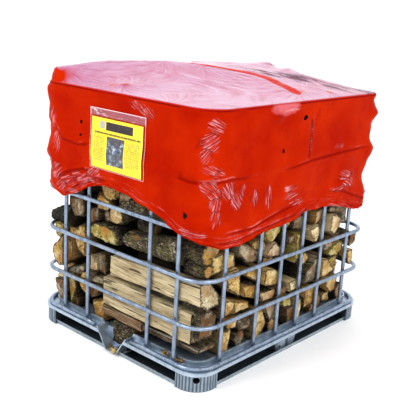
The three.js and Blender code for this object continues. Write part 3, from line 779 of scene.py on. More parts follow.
# Logs laid along the front: corners in Y and Z, where they start and end in X, stain, drop of the far end,
# where the outside is bark, and name.
BILLETS = (
    (((-559, 352), (-520, 329), (-447, 329), (-447, 375), (-505, 440), (-559, 440)),
     -60, 455, "weathered", -24, None, "long_billet_upper"),
    (((-559, 182), (-480, 178), (-440, 240), (-470, 312), (-559, 306)),
     -100, 420, "weathered", 4, None, "long_billet_lower"),
    (((-552, 152), (-455, 150), (-442, 168), (-470, 177), (-540, 172)), 150, 452, "dark", -14, (-100, 120)),
    (((-558, 136), (-480, 136), (-470, 168), (-558, 172)), -100, 148, "brown", 10),
    (((-556, 205), (-470, 200), (-455, 290), (-500, 322), (-556, 318)), 424, 455, "brown", 0, (100, 260)),
    (((-548, 28), (-480, 28), (-470, 96), (-500, 134), (-546, 126)), -40, 92, "brown", 0, (40, 260)),
)
# Round logs in their bark along the front: middle in Y and Z, radius, start and end in X, how dark, how far
# the far end drops, how much thinner the end is, and name.
BARK_LOGS = (
    ((-503, 480), 57, -345, -511, 0.95, 32, 0.62, "black_bark_log"),
    ((-506, 492), 58, 344, -12, 0.25, 34, 0.50),
    ((-537, 331), 19, 446, 40, 0.90, 6, 0.50),
    ((-500, 548), 54, 310, 446, 0.80, 4, 0.0),
    ((-524, 484), 25, 352, 457, 0.65, -8, 0.0),
    ((-502, 655), 48, -22, 280, 0.40, -6, 0.0),
    ((-500, 572), 26, 60, 160, 0.75, 0, 0.0),
)
# Room left empty between the ends, where the stack is dark, and behind the logs that lie along the front
RIGHT_HOLLOWS = (
    ((0, 392), (0, 308), (112, 308), (112, 385)), ((402, 542), (400, 462), (452, 462), (452, 542)),
    ((-490, 325), (-490, 262), (-440, 262), (-440, 325)), ((95, 255), (95, 200), (155, 200), (155, 255)),
    ((-345, 332), (-345, 318), (-255, 300), (-255, 320)), ((-60, 450), (-60, 378), (-5, 378), (-5, 450)))
FRONT_HOLLOWS = (
    ((-325, 400), (-325, 318), (-262, 318), (-300, 400)),
    ((-232, 350), (-232, 300), (-206, 300), (-206, 350)),
    ((-300, 180), (-300, 122), (-190, 122), (-190, 178)),
    ((-226, 455), (-226, 385), (-110, 385), (-110, 455)),
    ((-102, 176), (0, 176), (0, 442), (-62, 442), (-102, 320)),
    ((-460, 468), (-230, 468), (-230, 584), (-460, 584)))
RIM_TOP, TRAY_TOP, RIM_CLEAR = 137, 90, 13
# The first seed of each group of logs
FRONT_SEED, RIGHT_SEED, BILLET_SEED, BARK_SEED = 100, 200, 300, 400


def in_metres(outline):
    return [(u * MM, v * MM) for u, v in outline]


def middle_of(outline):
    return (sum(u for u, _ in outline) / len(outline), sum(v for _, v in outline) / len(outline))


def stood_in_tray(outline, depth):
    """A low log stands on the tray, with its end behind the rim."""
    if min(v for _, v in outline) > RIM_TOP:
        return outline, depth
    return tuple((u, TRAY_TOP if v < RIM_TOP else v) for u, v in outline), max(depth, RIM_CLEAR)


def log_by_outline(outline, start, end, axis, seed, stain, span, **more):
    outline = in_metres(outline)
    middle = middle_of(outline)
    return cut_log(fine_blank, middle, planes_of(outline, middle), UNSPLIT, start, end, axis, seed, stain,
                   corners=outline, bark_span=span, **more)


hero_logs = []
shown_logs = {"front": [], "right": []}


def keep_log(piece, name, side):
    if name:
        hero_logs.append((piece, name))
    else:
        shown_logs[side].append(piece)


for side, logs, end_at, axis, seed in (("front", FRONT_LOGS, LOG_END_Y, "y", FRONT_SEED),
                                       ("right", RIGHT_LOGS, LOG_END_X, "x", RIGHT_SEED)):
    inwards = -math.copysign(1, end_at)
    for number, (outline, depth, stain, *rest) in enumerate(logs):
        span, name = (*rest, None, None)[:2]
        outline, depth = stood_in_tray(outline, depth)
        log = log_by_outline(outline, end_at + inwards * LOG_LENGTH, end_at + inwards * depth * MM, axis,
                             seed + number, stain, span, bark_tone=0.6)
        keep_log(log, name, side)
for number, (outline, start, end, stain, drop, *rest) in enumerate(BILLETS):
    span, name = (*rest, None, None)[:2]
    log = log_by_outline(outline, start * MM, end * MM, "x", BILLET_SEED + number, stain, span,
                         drift=(0.0, drop * MM))
    keep_log(log, name, "right")
for number, (middle, radius, start, end, dark, drop, slim, *name) in enumerate(BARK_LOGS):
    middle = (middle[0] * MM, middle[1] * MM)
    log = cut_log(fine_blank, middle, [], radius * MM, start * MM, end * MM, "x", BARK_SEED + number,
                  "ochre", pith=middle, bark_tone=dark, drift=(0.0, drop * MM), slim=slim)
    keep_log(log, name[0] if name else None, "right")

# The rest of each stack: logs dropped at random into what space is left, each split off from its neighbours
FILL_STAINS = ("straw", "straw", "ochre", "ochre", "olive", "orange", "brown", "grey", "grey", "weathered",
               "dark")
TRIES = 9000
NEXT_TO, OFF_OUTLINE = 0.93, 0.62
NEIGHBOUR_REACH, OUTLINE_REACH = 0.24, 0.2
FILM_LINE, RIM_LINE = 0.76, 0.116


def best_gap(outline, centre, point):
    """How far a point lies outside an outline, along the outline's own edge that separates them best."""
    best = (-9.0, 0.0, 0.0)
    for across, up, distance in planes_of(outline, centre):
        out = (point[0] - centre[0]) * across + (point[1] - centre[1]) * up - distance
        if out > best[0]:
            best = (out, -across, -up)
    return best


def fill_stack(axis, low, high, start, end, blocked, seed, spread, set_back):
    """Fills a stack's cross-section from low to high corner around the blocked outlines. set_back is how
    far behind the face the ends lie, for the nearer logs and for the farther ones."""
    rng = random.Random(seed)
    seeds = []
    for _ in range(TRIES):
        size = rng.uniform(*spread)
        middle = (rng.uniform(low[0] + size * 0.7, high[0] - size * 0.7),
                  rng.uniform(low[1] + size * 0.7, high[1] - size * 0.7))
        if any(math.dist(middle, other) < NEXT_TO * (size + other_size) for other, other_size in seeds):
            continue
        if any(best_gap(outline, centre, middle)[0] < size * OFF_OUTLINE for outline, centre in blocked):
            continue
        seeds.append((middle, size))
    made = []
    for number, (middle, size) in enumerate(seeds):
        planes = [(1, 0, high[0] - middle[0]), (-1, 0, middle[0] - low[0]),
                  (0, 1, high[1] - middle[1]), (0, -1, middle[1] - low[1])]
        for other, other_size in seeds:
            apart = math.dist(middle, other)
            if 0 < apart < NEIGHBOUR_REACH:
                share = apart * size / (size + other_size) - rng.uniform(0.002, 0.009)
                planes.append(((other[0] - middle[0]) / apart, (other[1] - middle[1]) / apart, share))
        for outline, centre in blocked:
            distance, across, up = best_gap(outline, centre, middle)
            if distance < OUTLINE_REACH:
                planes.append((across, up, max(0.004, distance - 0.007)))
        first = rng.uniform(0, 2 * math.pi)
        for cut in range(rng.choice((0, 1, 1, 2, 2))):
            turn = first + cut * rng.uniform(1.4, 2.3)
            planes.append((math.cos(turn), math.sin(turn), size * rng.uniform(0.25, 0.75)))
        shallow = rng.random() < (0.5 if blocked else 0.8)
        depth = rng.uniform(*(set_back[:2] if shallow else set_back[2:]))
        if middle[1] - size < RIM_LINE:
            depth = max(depth, RIM_CLEAR * MM)
        made.append(cut_log(
            fine_blank if middle[1] < FILM_LINE else coarse_blank, middle, planes,
            size * rng.uniform(1.0, 1.3), start, end - math.copysign(depth, end - start), axis,
            seed + 7 * number, rng.choice(FILL_STAINS), bark_tone=rng.uniform(0.2, 1.0)))
    return made


def blocked_by(outlines):
    return [(outline, middle_of(outline)) for outline in map(in_metres, outlines)]


def round_outline(middle, radius):
    return [(middle[0] + radius * math.cos(turn), middle[1] + radius * math.sin(turn))
            for turn in np.arange(8) * math.pi / 4]


tray_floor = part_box("firewood_stack_right")[0].z
fills = {
    "right": fill_stack(
        "x", (-STACK_Y, tray_floor), (STACK_Y, 1.09), 0.004, LOG_END_X,
        blocked_by([row[0] for row in RIGHT_LOGS] + list(RIGHT_HOLLOWS) + [row[0] for row in BILLETS]
                   + [round_outline(middle, radius) for middle, radius, *_ in BARK_LOGS]),
        1000, (0.034, 0.056), (0.012, 0.04, 0.06, 0.14)),
    "front": fill_stack(
        "y", (-STACK_X, tray_floor), (-0.004, 1.12), LOG_END_Y + LOG_LENGTH, LOG_END_Y,
        blocked_by([row[0] for row in FRONT_LOGS] + list(FRONT_HOLLOWS)),
        3000, (0.034, 0.056), (0.012, 0.04, 0.06, 0.14)),
    "left": fill_stack(
        "x", (-0.098, tray_floor), (STACK_Y, 1.13), -0.004, -LOG_END_X, [],
        5000, (0.036, 0.060), (0.0, 0.03, 0.04, 0.10))}

# Chips and splinters that have dropped into the valve recess and on to the ledge
RECESS_CHIPS, CHIPS = 26, 46
CHIP_SEED, FIRST_CHIP_SEED = 7, 8000
CHIP_STAINS = ("straw", "orange", "brown", "cream")
rng = random.Random(CHIP_SEED)
chips = []
for number in range(CHIPS):
    in_recess = number < RECESS_CHIPS
    across = rng.uniform(-0.024, 0.034) if in_recess else rng.uniform(0.262, 0.405)
    back = rng.uniform(-0.606, -0.556) if in_recess else rng.uniform(-0.572, -0.562)
    up = rng.uniform(0.010, 0.024) if in_recess else rng.uniform(0.0985, 0.106)
    size, length = rng.uniform(0.0018, 0.0042), rng.uniform(0.008, 0.024)
    turn = rng.uniform(0, math.pi)
    chips.append(cut_log(
        coarse_blank, (back, up), [(math.cos(turn), math.sin(turn), size * 0.4)], size, across,
        across + length, "x", FIRST_CHIP_SEED + number, rng.choice(CHIP_STAINS)))

for piece, name in hero_logs:
    settle(piece, name.replace("_log", "") + "_log_split", None, "bark" if "bark" in name else "split_wood",
           [name])
for pieces, side, node in (
        (fills["right"] + shown_logs["right"], "right", "firewood_stack_right"),
        (chips + fills["front"] + shown_logs["front"], "front", "firewood_stack_front_left"),
        (fills["left"], "left", "firewood_stack_left")):
    deselect_all()
    for piece in pieces:
        piece.select_set(True)
    bpy.context.view_layer.objects.active = pieces[0]
    bpy.ops.object.join()
    settle(pieces[0], f"logs_{side}_stack", None, "bark", [node])
for blank in (fine_blank, coarse_blank):
    bpy.data.objects.remove(blank)

# ---- Film hood -------------------------------------------------------------------------------
# One sheet of glossy red stretch film pulled down over the cage and the heaped logs. It is tight
# over the tube rings, tented over the log ends on top, and its cut hem is crumpled and rolled.
RING_TOP = 1.1055
FILM_HALF_X, FILM_HALF_Y, FILM_CORNER = 0.4985, 0.5985, 0.110
PERIMETER = 4 * (FILM_HALF_X + FILM_HALF_Y) - (8 - 2 * math.pi) * FILM_CORNER
ROUND_OVER, ARC_ROWS = 0.010, 4
TOP_ACROSS, TOP_DEEP, SIDE_ROWS = 144, 172, 104
LATTICE, RELAX_ROUNDS = 0.008, 2600
TINY, NEAR_EDGE = 1e-6, 1e-4
TUBE_REACH, TUBE_BEHIND_FILM = 10.2, 10.5
RING_LEVELS = (1095.0, 850.0, 640.0, 454.0)
# In millimetres: how far it sags between rings, and how far up its hem is crumpled and how thickly rolled;
# the reach of a crease and of the long log's edge
SAG, CRUMPLED, ROLLED, CREASE_REACH, EDGE_REACH = 6.5, 26, 3.0, 40, 60
CORNER_WAVES, FINE_CRUMPLE, LONG_CRUMPLE = 4.5, 2.4, 3.2
# The hem: place along each side and height
HEMS = {
    "front": ((-500, 668), (-435, 655), (-335, 619), (-253, 648), (-174, 687), (-117, 710), (-36, 721),
              (48, 714), (142, 694), (281, 659), (353, 622), (466, 602), (500, 602)),
    "right": ((-600, 602), (-533, 582), (-457, 570), (-386, 568), (-295, 582), (-246, 597), (-65, 608),
              (40, 633), (153, 633), (277, 614), (365, 592), (475, 568), (600, 575)),
    "back": ((-500, 640), (-300, 600), (0, 655), (260, 615), (500, 575)),
    "left": ((-600, 668), (-420, 640), (-150, 600), (150, 660), (420, 610), (600, 640))}
# Logs that hold the top up: the two ends of their top edge, and their radius
TOP_LOGS = (
    ((-436, -556, 1160), (-385, -300, 1187), 60), ((-385, -300, 1187), (-262, -52, 1190), 60),
    ((-430, 90, 1172), (-200, 40, 1186), 50), ((-420, 300, 1166), (-180, 330, 1182), 50),
    ((-350, 500, 1158), (-92, 470, 1188), 34), ((40, 462, 1174), (225, 352, 1150), 36),
    ((90, 560, 1138), (300, 500, 1127), 30), ((300, -450, 1106), (140, -280, 1113), 60),
    ((-124, -524, 1116), (-112, -520, 1120), 9), ((-72, -500, 1129), (-60, -494, 1133), 11),
    ((384, 84, 1118), (394, 92, 1121), 12), ((430, 222, 1118), (436, 240, 1121), 12))
# The sharp edge of a long log under the film
LOG_EDGE = ((-230, -20, 1189), (-110, 36, 1185), (-30, 82, 1178), (50, 140, 1166), (170, 146, 1152),
            (300, 92, 1136), (372, 62, 1124), (420, 30, 1113))
for _ in range(2):
    LOG_EDGE = LOG_EDGE[:1] + tuple(
        tuple(a * (1 - part) + b * part for a, b in zip(first, last))
        for first, last in zip(LOG_EDGE, LOG_EDGE[1:]) for part in (0.25, 0.75)) + LOG_EDGE[-1:]
# Where a log pushes the film out, or it is drawn in: place along the side, height, width, and how far out
BULGES = {
    "left": ((-560, 1060, 60, 14), (-480, 1010, 70, 18), (-420, 900, 60, -16), (-500, 810, 70, 20),
             (-300, 960, 90, 12), (-120, 1010, 110, 16), (160, 900, 120, 14), (400, 980, 100, 16),
             (-150, 760, 90, -12)),
    "front": ((-440, 960, 70, 10), (-455, 790, 60, 12), (300, 760, 120, 5)),
    "right": ((560, 1010, 46, 22), (560, 1085, 40, -10), (575, 905, 40, -14), (560, 840, 50, 16),
              (560, 720, 60, -22), (-210, 1062, 42, 13), (330, 735, 60, 9), (-100, 760, 90, 7)),
    "back": ((380, 1010, 70, 22), (330, 840, 60, 16), (0, 930, 120, 12), (-320, 880, 110, 16),
             (420, 700, 90, -20))}
# Creases pressed into the sides: points along each, its width, and how far it stands out
CREASES = {
    "front": ((((-401, 939), (-330, 876), (-231, 869), (-160, 884)), 7, 6),
              (((-395, 690), (-300, 742), (-200, 772), (-120, 768)), 9, 8),
              (((-370, 655), (-270, 712), (-165, 742)), 8, -6),
              (((-335, 625), (-240, 690), (-120, 748), (-60, 752)), 7, 7),
              (((330, 846), (420, 838), (500, 846)), 12, -4), (((470, 852), (520, 800)), 10, 4)),
    "right": ((((-600, 838), (-480, 850), (-360, 842)), 12, -4),
              (((-150, 838), (30, 857), (260, 866), (520, 870)), 6, -3),
              (((30, 1040), (34, 960), (26, 850)), 4, 4),
              (((-560, 610), (-420, 602), (-260, 622), (-60, 640), (120, 668)), 8, 6),
              (((-500, 640), (-330, 634), (-200, 660), (0, 690)), 8, -5),
              (((200, 702), (300, 690), (420, 650), (560, 600)), 8, 6),
              (((260, 745), (330, 768), (400, 752)), 10, 8), (((250, 700), (330, 715), (400, 700)), 9, 7)),
    "back": ((((-400, 900), (-100, 760), (200, 720), (430, 640)), 12, 8),
             (((-200, 1000), (100, 950), (420, 1000)), 10, 6)),
    "left": ((((-560, 700), (-300, 790), (0, 800), (300, 740)), 12, 8),
             (((-400, 1040), (-100, 950), (200, 980), (500, 900)), 10, 7))}
# Small tears: place along the side, height and radius
TEARS = {"front": ((-223, 962, 5), (-219, 904, 5), (385, 702, 8)), "right": ((-27, 1036, 9), (-158, 916, 4)),
         "back": ((-140, 820, 6),), "left": ((230, 1010, 5),)}
# Fans of fine wrinkles: place round the film from the middle of its front, height, half width, half
# height, lean in degrees, pitch and strength
FANS = (
    (496, 1040, 34, 34, -25, 9, 0.8), (478, 985, 36, 40, 35, 9, 1.0), (462, 932, 26, 36, 55, 9, 1.0),
    (482, 884, 42, 22, -25, 9, 0.9), (512, 872, 26, 14, -15, 9, 0.7), (477, 822, 34, 28, -40, 9, 1.0),
    (503, 792, 30, 26, -50, 9, 0.8), (505, 756, 26, 38, 80, 9, 0.8), (508, 700, 24, 40, 75, 9, 0.9),
    (556, 800, 44, 34, -55, 9, 0.8), (611, 753, 36, 32, -50, 9, 0.7), (655, 792, 18, 26, -70, 9, 0.8),
    (811, 745, 18, 58, 85, 10, 0.7), (728, 750, 16, 30, 80, 9, 0.6), (958, 754, 50, 17, 10, 9, 1.0),
    (955, 722, 56, 15, 12, 10, 1.0), (1005, 688, 50, 15, 15, 10, 0.8), (1368, 755, 50, 22, -20, 15, 1.0),
    (1408, 713, 54, 26, -35, 14, 0.9), (1327, 700, 50, 17, 10, 13, 0.8), (1077, 945, 6, 100, 5, 12, 0.9),
    (1300, 891, 40, 14, 20, 9, 0.6), (885, 1070, 95, 17, 3, 42, 1.1),
    (-300, 696, 64, 26, 25, 11, 1.0), (-217, 726, 60, 24, 25, 11, 1.0), (-144, 764, 44, 24, 38, 10, 0.9),
    (-265, 655, 52, 20, 20, 9, 0.8), (-352, 665, 42, 30, 40, 9, 0.9), (-130, 730, 46, 14, 12, 9, 0.9),
    (119, 1070, 48, 20, -40, 9, 0.8), (168, 1050, 40, 26, -35, 9, 0.8), (-390, 723, 48, 40, 40, 12, 0.8),
    (-388, 844, 26, 50, 70, 12, 0.6), (-408, 960, 22, 50, 80, 13, 0.6), (420, 640, 70, 14, 0, 9, 0.9),
    (1620, 940, 34, 60, 30, 10, 0.9), (1640, 800, 34, 40, -30, 10, 0.9), (2100, 760, 70, 36, 20, 12, 0.8),
    (2420, 830, 44, 60, 60, 12, 0.8), (2570, 950, 34, 64, 25, 10, 0.9), (2580, 780, 34, 48, -35, 10, 0.9),
    (3050, 800, 64, 36, 15, 12, 0.8), (3400, 720, 56, 30, 30, 12, 0.9), (3720, 900, 30, 64, 65, 10, 0.9),
    (3745, 770, 34, 40, -30, 10, 0.9))
# Points that hold the top up, from which its fine folds run out, and how far each pulls
TIPS = (
    (-436, -556, 1.0), (-112, -520, 0.8), (-66, -497, 0.9), (-262, -52, 1.9), (388, 88, 0.7), (433, 230, 0.7),
    (-110, 36, 1.2), (100, 590, 1.1), (-420, 320, 1.1), (300, -620, 0.9), (225, 352, 1.0))


def edge_point(share, half_x, half_y, corner):
    """Points round a rounded rectangle, from the middle of its front, with the way each faces."""
    core_x, core_y = half_x - corner, half_y - corner
    arc = math.pi / 2 * corner
    distance = (share % 1.0) * (4 * (core_x + core_y) + 4 * arc)
    x, y, turn = (np.zeros_like(distance) for _ in range(3))
    # Straights and corners in turn: length, start or centre, the way it runs, and the way it faces
    runs = ((core_x, 0, -half_y, 1, 0, -90), (arc, core_x, -core_y, 0, 0, -90),
            (2 * core_y, half_x, -core_y, 0, 1, 0), (arc, core_x, core_y, 0, 0, 0),
            (2 * core_x, core_x, half_y, -1, 0, 90), (arc, -core_x, core_y, 0, 0, 90),
            (2 * core_y, -half_x, core_y, 0, -1, 180), (arc, -core_x, -core_y, 0, 0, 180),
            (core_x, -core_x, -half_y, 1, 0, -90))
    start = 0.0
    for length, a, b, go_x, go_y, facing in runs:
        here = (distance >= start) & (distance <= start + length)
        part = distance - start
        bend = 0 if go_x or go_y else corner
        angle = math.radians(facing) + (part / corner if bend else np.zeros_like(part))
        x = np.where(here, a + go_x * part + bend * np.cos(angle), x)
        y = np.where(here, b + go_y * part + bend * np.sin(angle), y)
        turn = np.where(here, angle, turn)
        start += length
    return x, y, turn


def crinkle(points, size, seed, stretch=(1, 1, 1)):
    """Even noise at many points, about -1 to 1; size is the width of its bumps in metres."""
    shifted = points * np.array(stretch) / size + np.array([seed * 17.3, seed * 5.1, seed * 9.7])
    return np.array([noise.noise(spot) for spot in shifted.tolist()]) * 1.8


def distance_to_line(u, v, points):
    """Distance from many points to a line of several pieces, how far along it, and on which side."""
    best, share, side = np.full(len(u), 1e9), np.zeros(len(u)), np.ones(len(u))
    for number, ((u0, v0), (u1, v1)) in enumerate(zip(points, points[1:])):
        run_u, run_v = u1 - u0, v1 - v0
        part = np.clip(((u - u0) * run_u + (v - v0) * run_v) / (run_u ** 2 + run_v ** 2), 0, 1)
        distance = np.hypot(u - u0 - part * run_u, v - v0 - part * run_v)
        closer = distance < best
        best = np.where(closer, distance, best)
        share = np.where(closer, (number + part) / (len(points) - 1), share)
        side = np.where(closer, np.sign(run_u * (v - v0) - run_v * (u - u0)), side)
    return best, share, side


def around(grid):
    """The sum of the four neighbours of each inner cell."""
    return grid[2:, 1:-1] + grid[:-2, 1:-1] + grid[1:-1, 2:] + grid[1:-1, :-2]


def taut_top():
    """Heights of a taut sheet held at the ring and over the logs, on a square lattice."""
    xs = np.arange(-FILM_HALF_X, FILM_HALF_X + LATTICE, LATTICE)
    ys = np.arange(-FILM_HALF_Y, FILM_HALF_Y + LATTICE, LATTICE)
    x, y = np.meshgrid(xs, ys, indexing="ij")
    u, v = x.ravel() / MM, y.ravel() / MM
    lowest = np.full(len(u), RING_TOP / MM)
    for first, last, radius in TOP_LOGS:
        apart, share, _ = distance_to_line(u, v, (first[:2], last[:2]))
        crest = first[2] + (last[2] - first[2]) * share
        fall = radius - np.sqrt(np.maximum(radius ** 2 - apart ** 2, 0))
        lowest = np.maximum(lowest, np.where(apart > radius, 0, crest - fall))
    apart, share, _ = distance_to_line(u, v, [point[:2] for point in LOG_EDGE])
    rise = np.interp(share, np.linspace(0, 1, len(LOG_EDGE)), [height for *_, height in LOG_EDGE])
    lowest = np.maximum(lowest, rise - (apart / 12) ** 2 * 4).reshape(x.shape) * MM
    core_x, core_y = FILM_HALF_X - FILM_CORNER, FILM_HALF_Y - FILM_CORNER
    out = np.hypot(np.maximum(np.abs(x) - core_x, 0), np.maximum(np.abs(y) - core_y, 0))
    held = out > FILM_CORNER - ROUND_OVER
    height = lowest.copy()
    for _ in range(RELAX_ROUNDS):
        mean = height.copy()
        mean[1:-1, 1:-1] = around(height) / 4
        height = np.maximum(mean, lowest)
        height[held] = RING_TOP
    for _ in range(2):
        height[1:-1, 1:-1] = (height[1:-1, 1:-1] + around(height)) / 5
        height[held] = RING_TOP
    return xs, ys, height


def read_lattice(xs, ys, values, x, y):
    column = np.clip((x - xs[0]) / LATTICE, 0, len(xs) - 1.001)
    row = np.clip((y - ys[0]) / LATTICE, 0, len(ys) - 1.001)
    i, j = column.astype(int), row.astype(int)
    a, b = column - i, row - j
    return ((1 - a) * (1 - b) * values[i, j] + a * (1 - b) * values[i + 1, j]
            + (1 - a) * b * values[i, j + 1] + a * b * values[i + 1, j + 1])


# The flat sheet: a grid for the top, with its edge drawn down in rows for the sides
deselect_all()
bpy.ops.mesh.primitive_grid_add(x_subdivisions=TOP_ACROSS, y_subdivisions=TOP_DEEP, size=2,
                                location=(0, 0, 0))
hood = bpy.context.object
bpy.ops.object.mode_set(mode="EDIT")
bpy.ops.mesh.select_mode(type="VERT")
bpy.ops.mesh.select_all(action="SELECT")
bpy.ops.mesh.region_to_loop()
for _ in range(SIDE_ROWS):
    extrude((0, 0, -1 / SIDE_ROWS))
bpy.ops.object.mode_set(mode="OBJECT")
blank = points_of(hood)
row = np.round(-blank[:, 2] * SIDE_ROWS).astype(int)
size = np.maximum(np.abs(blank[:, 0]), np.abs(blank[:, 1]))
edge_a = np.where(size > TINY, blank[:, 0] / np.maximum(size, TINY), 0)
edge_b = np.where(size > TINY, blank[:, 1] / np.maximum(size, TINY), -1)
# How much of the way round lies before the front's own end, and before the right side's
front_share = (2 * (FILM_HALF_X - FILM_CORNER) + math.pi / 2 * FILM_CORNER) / PERIMETER
side_share = 0.5 - front_share
on_front, on_back = edge_b <= NEAR_EDGE - 1, edge_b >= 1 - NEAR_EDGE
on_right = (edge_a >= 1 - NEAR_EDGE) & ~on_front & ~on_back
share = np.select(
    [on_front, on_right, on_back],
    [edge_a / 2 * front_share, front_share / 2 + (edge_b + 1) / 2 * side_share,
     0.5 - edge_a / 2 * front_share],
    0.5 + front_share / 2 + (1 - edge_b) / 2 * side_share)

# The top: a taut sheet over the logs, with fine folds drawn along its slopes
inner_x, inner_y, turn = edge_point(share, FILM_HALF_X - ROUND_OVER, FILM_HALF_Y - ROUND_OVER,
                                    FILM_CORNER - ROUND_OVER)
x, y = inner_x * size, inner_y * size
z = read_lattice(*taut_top(), x, y)
raised = np.clip((z - RING_TOP) / 0.02, 0, 1) * np.clip((1 - size) * 14, 0, 1)
ground = np.zeros(len(x))
flat = np.stack([x, y, ground], 1)
swirl = crinkle(flat, 0.30, 31) * 0.9
along, across = np.cos(0.5 + swirl), np.sin(0.5 + swirl)
folds = crinkle(np.stack([x * along + y * across, y * along - x * across, swirl], 1), 0.022, 32,
                (0.12, 1, 0.02))
z = z + raised * (0.0009 * folds + 0.0016 * crinkle(flat, 0.14, 33))

# The sides: down from the ring to the hem, drawn in a little between the rings
facing_x, facing_y = np.cos(turn), np.sin(turn)
side_x, side_y = inner_x + facing_x * ROUND_OVER, inner_y + facing_y * ROUND_OVER


def near_side(side):
    """Places along one side of the cage in millimetres, and how far each point belongs to that side."""
    facing = {"front": -math.pi / 2, "right": 0.0, "back": math.pi / 2, "left": math.pi}[side]
    belongs = np.clip(np.cos(turn - facing) * 1.6, 0, 1) ** 2
    return (side_y if side in ("right", "left") else side_x) / MM, belongs


SIDES = {side: near_side(side) for side in HEMS}
hem, weight = np.zeros(len(x)), np.zeros(len(x))
for side, line in HEMS.items():
    place, belongs = SIDES[side]
    hem += np.interp(place, *zip(*line)) * MM * (belongs + TINY)
    weight += belongs + TINY
hem_place = np.stack([np.cos(share * 2 * math.pi), np.sin(share * 2 * math.pi), ground], 1)
hem = hem / weight + 0.0016 * crinkle(hem_place, 0.024, 34) + 0.004 * crinkle(hem_place, 0.11, 35)
below = np.clip((row - ARC_ROWS) / (SIDE_ROWS - ARC_ROWS), 0, 1)
top_of_side = RING_TOP - ROUND_OVER
side_z = top_of_side - below * (top_of_side - hem)
height, above_hem = side_z / MM, (side_z - hem) / MM
body = np.stack([side_x, side_y, side_z], 1)
out = 2.4 * crinkle(body, 0.16, 36) + 0.7 * crinkle(body, 0.05, 37)
for upper, lower in zip(RING_LEVELS, RING_LEVELS[1:]):
    part = (height - (upper + lower) / 2) / ((upper - lower) / 2)
    out -= np.where((height <= upper) & (height > lower), SAG * (1 - part ** 2), 0)
at_corner = np.clip((np.abs(side_x) - 0.40) / 0.09, 0, 1) * np.clip((np.abs(side_y) - 0.50) / 0.09, 0, 1)
out += at_corner * CORNER_WAVES * crinkle(body, 0.045, 38, (1, 1, 1.4)) * np.clip(below * 6, 0, 1)
for side, bulges in BULGES.items():
    where, belongs = SIDES[side]
    for place, middle, width, much in bulges:
        apart = ((where - place) / width) ** 2 + ((height - middle) / (width * 0.62)) ** 2
        out += much * np.exp(-apart) * belongs
crease_far, crease_mark = np.full(len(x), 1.0), np.zeros(len(x))
for side, creases in CREASES.items():
    where, belongs = SIDES[side]
    for line, width, much in creases:
        apart, part, above = distance_to_line(where, height, line)
        fade = np.clip(np.minimum(part, 1 - part) * 7, 0, 1) * (belongs > 0.5)
        out += much * np.exp(-(apart / width) ** 2) * fade * belongs
        nearer = (apart < CREASE_REACH) & (fade > 0) & (apart < np.abs(crease_far) / MM)
        crease_far = np.where(nearer, apart * above * MM, crease_far)
        crease_mark = np.where(nearer, fade, crease_mark)
crumple = np.exp(-np.maximum(above_hem, 0) / CRUMPLED)
out += crumple * FINE_CRUMPLE * crinkle(body, 0.022, 39)
out += crumple * LONG_CRUMPLE * crinkle(body, 0.05, 40, (1, 1, 3.0))
out += ROLLED * (np.exp(-((above_hem - 5) / 4.5) ** 2) - np.exp(-(above_hem / 2.5) ** 2))
for ring_level in RING_LEVELS:
    off_level = height - ring_level
    over_tube = np.sqrt(np.maximum(TUBE_REACH ** 2 - off_level ** 2, 0)) - TUBE_BEHIND_FILM
    out = np.where(np.abs(off_level) < TUBE_REACH, np.maximum(out, over_tube), out)
out *= np.clip(below * 26, 0, 1)

# The sheet in its place: the top, a bead round the ring, and the sides
arc = np.clip(row / ARC_ROWS, 0, 1) * math.pi / 2
bead = np.sin(arc) * ROUND_OVER
on_top, on_side = row == 0, row > ARC_ROWS
x, y, z = (np.select([on_top, on_side], [top, hanging], rounded) for top, hanging, rounded in (
    (x, side_x + facing_x * out * MM, inner_x + facing_x * bead),
    (y, side_y + facing_y * out * MM, inner_y + facing_y * bead),
    (z, side_z, top_of_side + np.cos(arc) * ROUND_OVER)))
set_points(hood, np.stack([x, y, z], 1))

# Where it is wrinkled: across and along the wrinkles of the nearest fan, and how strongly. On top they
# run out from the tips.
wrinkled = np.zeros((len(x), 3))
for number, (place, middle, wide, tall, lean, pitch, much) in enumerate(FANS):
    off = ((share - 0.5) * PERIMETER / MM - place) % (PERIMETER / MM) - PERIMETER / MM / 2
    up = height - middle
    way = math.radians(lean)
    mark = np.clip(1.7 - 1.5 * np.hypot(off / wide, up / tall), 0, 1) * much * on_side
    across = (up * math.cos(way) - off * math.sin(way)) / (pitch * 0.50)
    along = (off * math.cos(way) + up * math.sin(way)) / (pitch * 8.0)
    fan = np.stack([across * (1 + along * 0.4), along + number * 7, mark], 1)
    wrinkled = np.where((mark > wrinkled[:, 2])[:, None], fan, wrinkled)
nearest, second = np.full(len(x), 1e9), np.full(len(x), 1e9)
for number, (tip_x, tip_y, pull) in enumerate(TIPS):
    off_x, off_y = x / MM - tip_x, y / MM - tip_y
    distance = np.hypot(off_x, off_y)
    far = distance / pull
    closer = far < nearest
    second = np.where(closer, nearest, np.minimum(second, far))
    nearest = np.where(closer, far, nearest)
    ray = np.stack([(np.arctan2(off_y, off_x) + 0.35 * swirl) * 9, distance / 160 + number * 7, ground], 1)
    wrinkled = np.where((closer & on_top)[:, None], ray, wrinkled)
wrinkled[:, 2] = np.where(on_top, np.clip((second - nearest) / 30, 0, 1) * np.clip(nearest / 90, 0.15, 1),
                          wrinkled[:, 2])

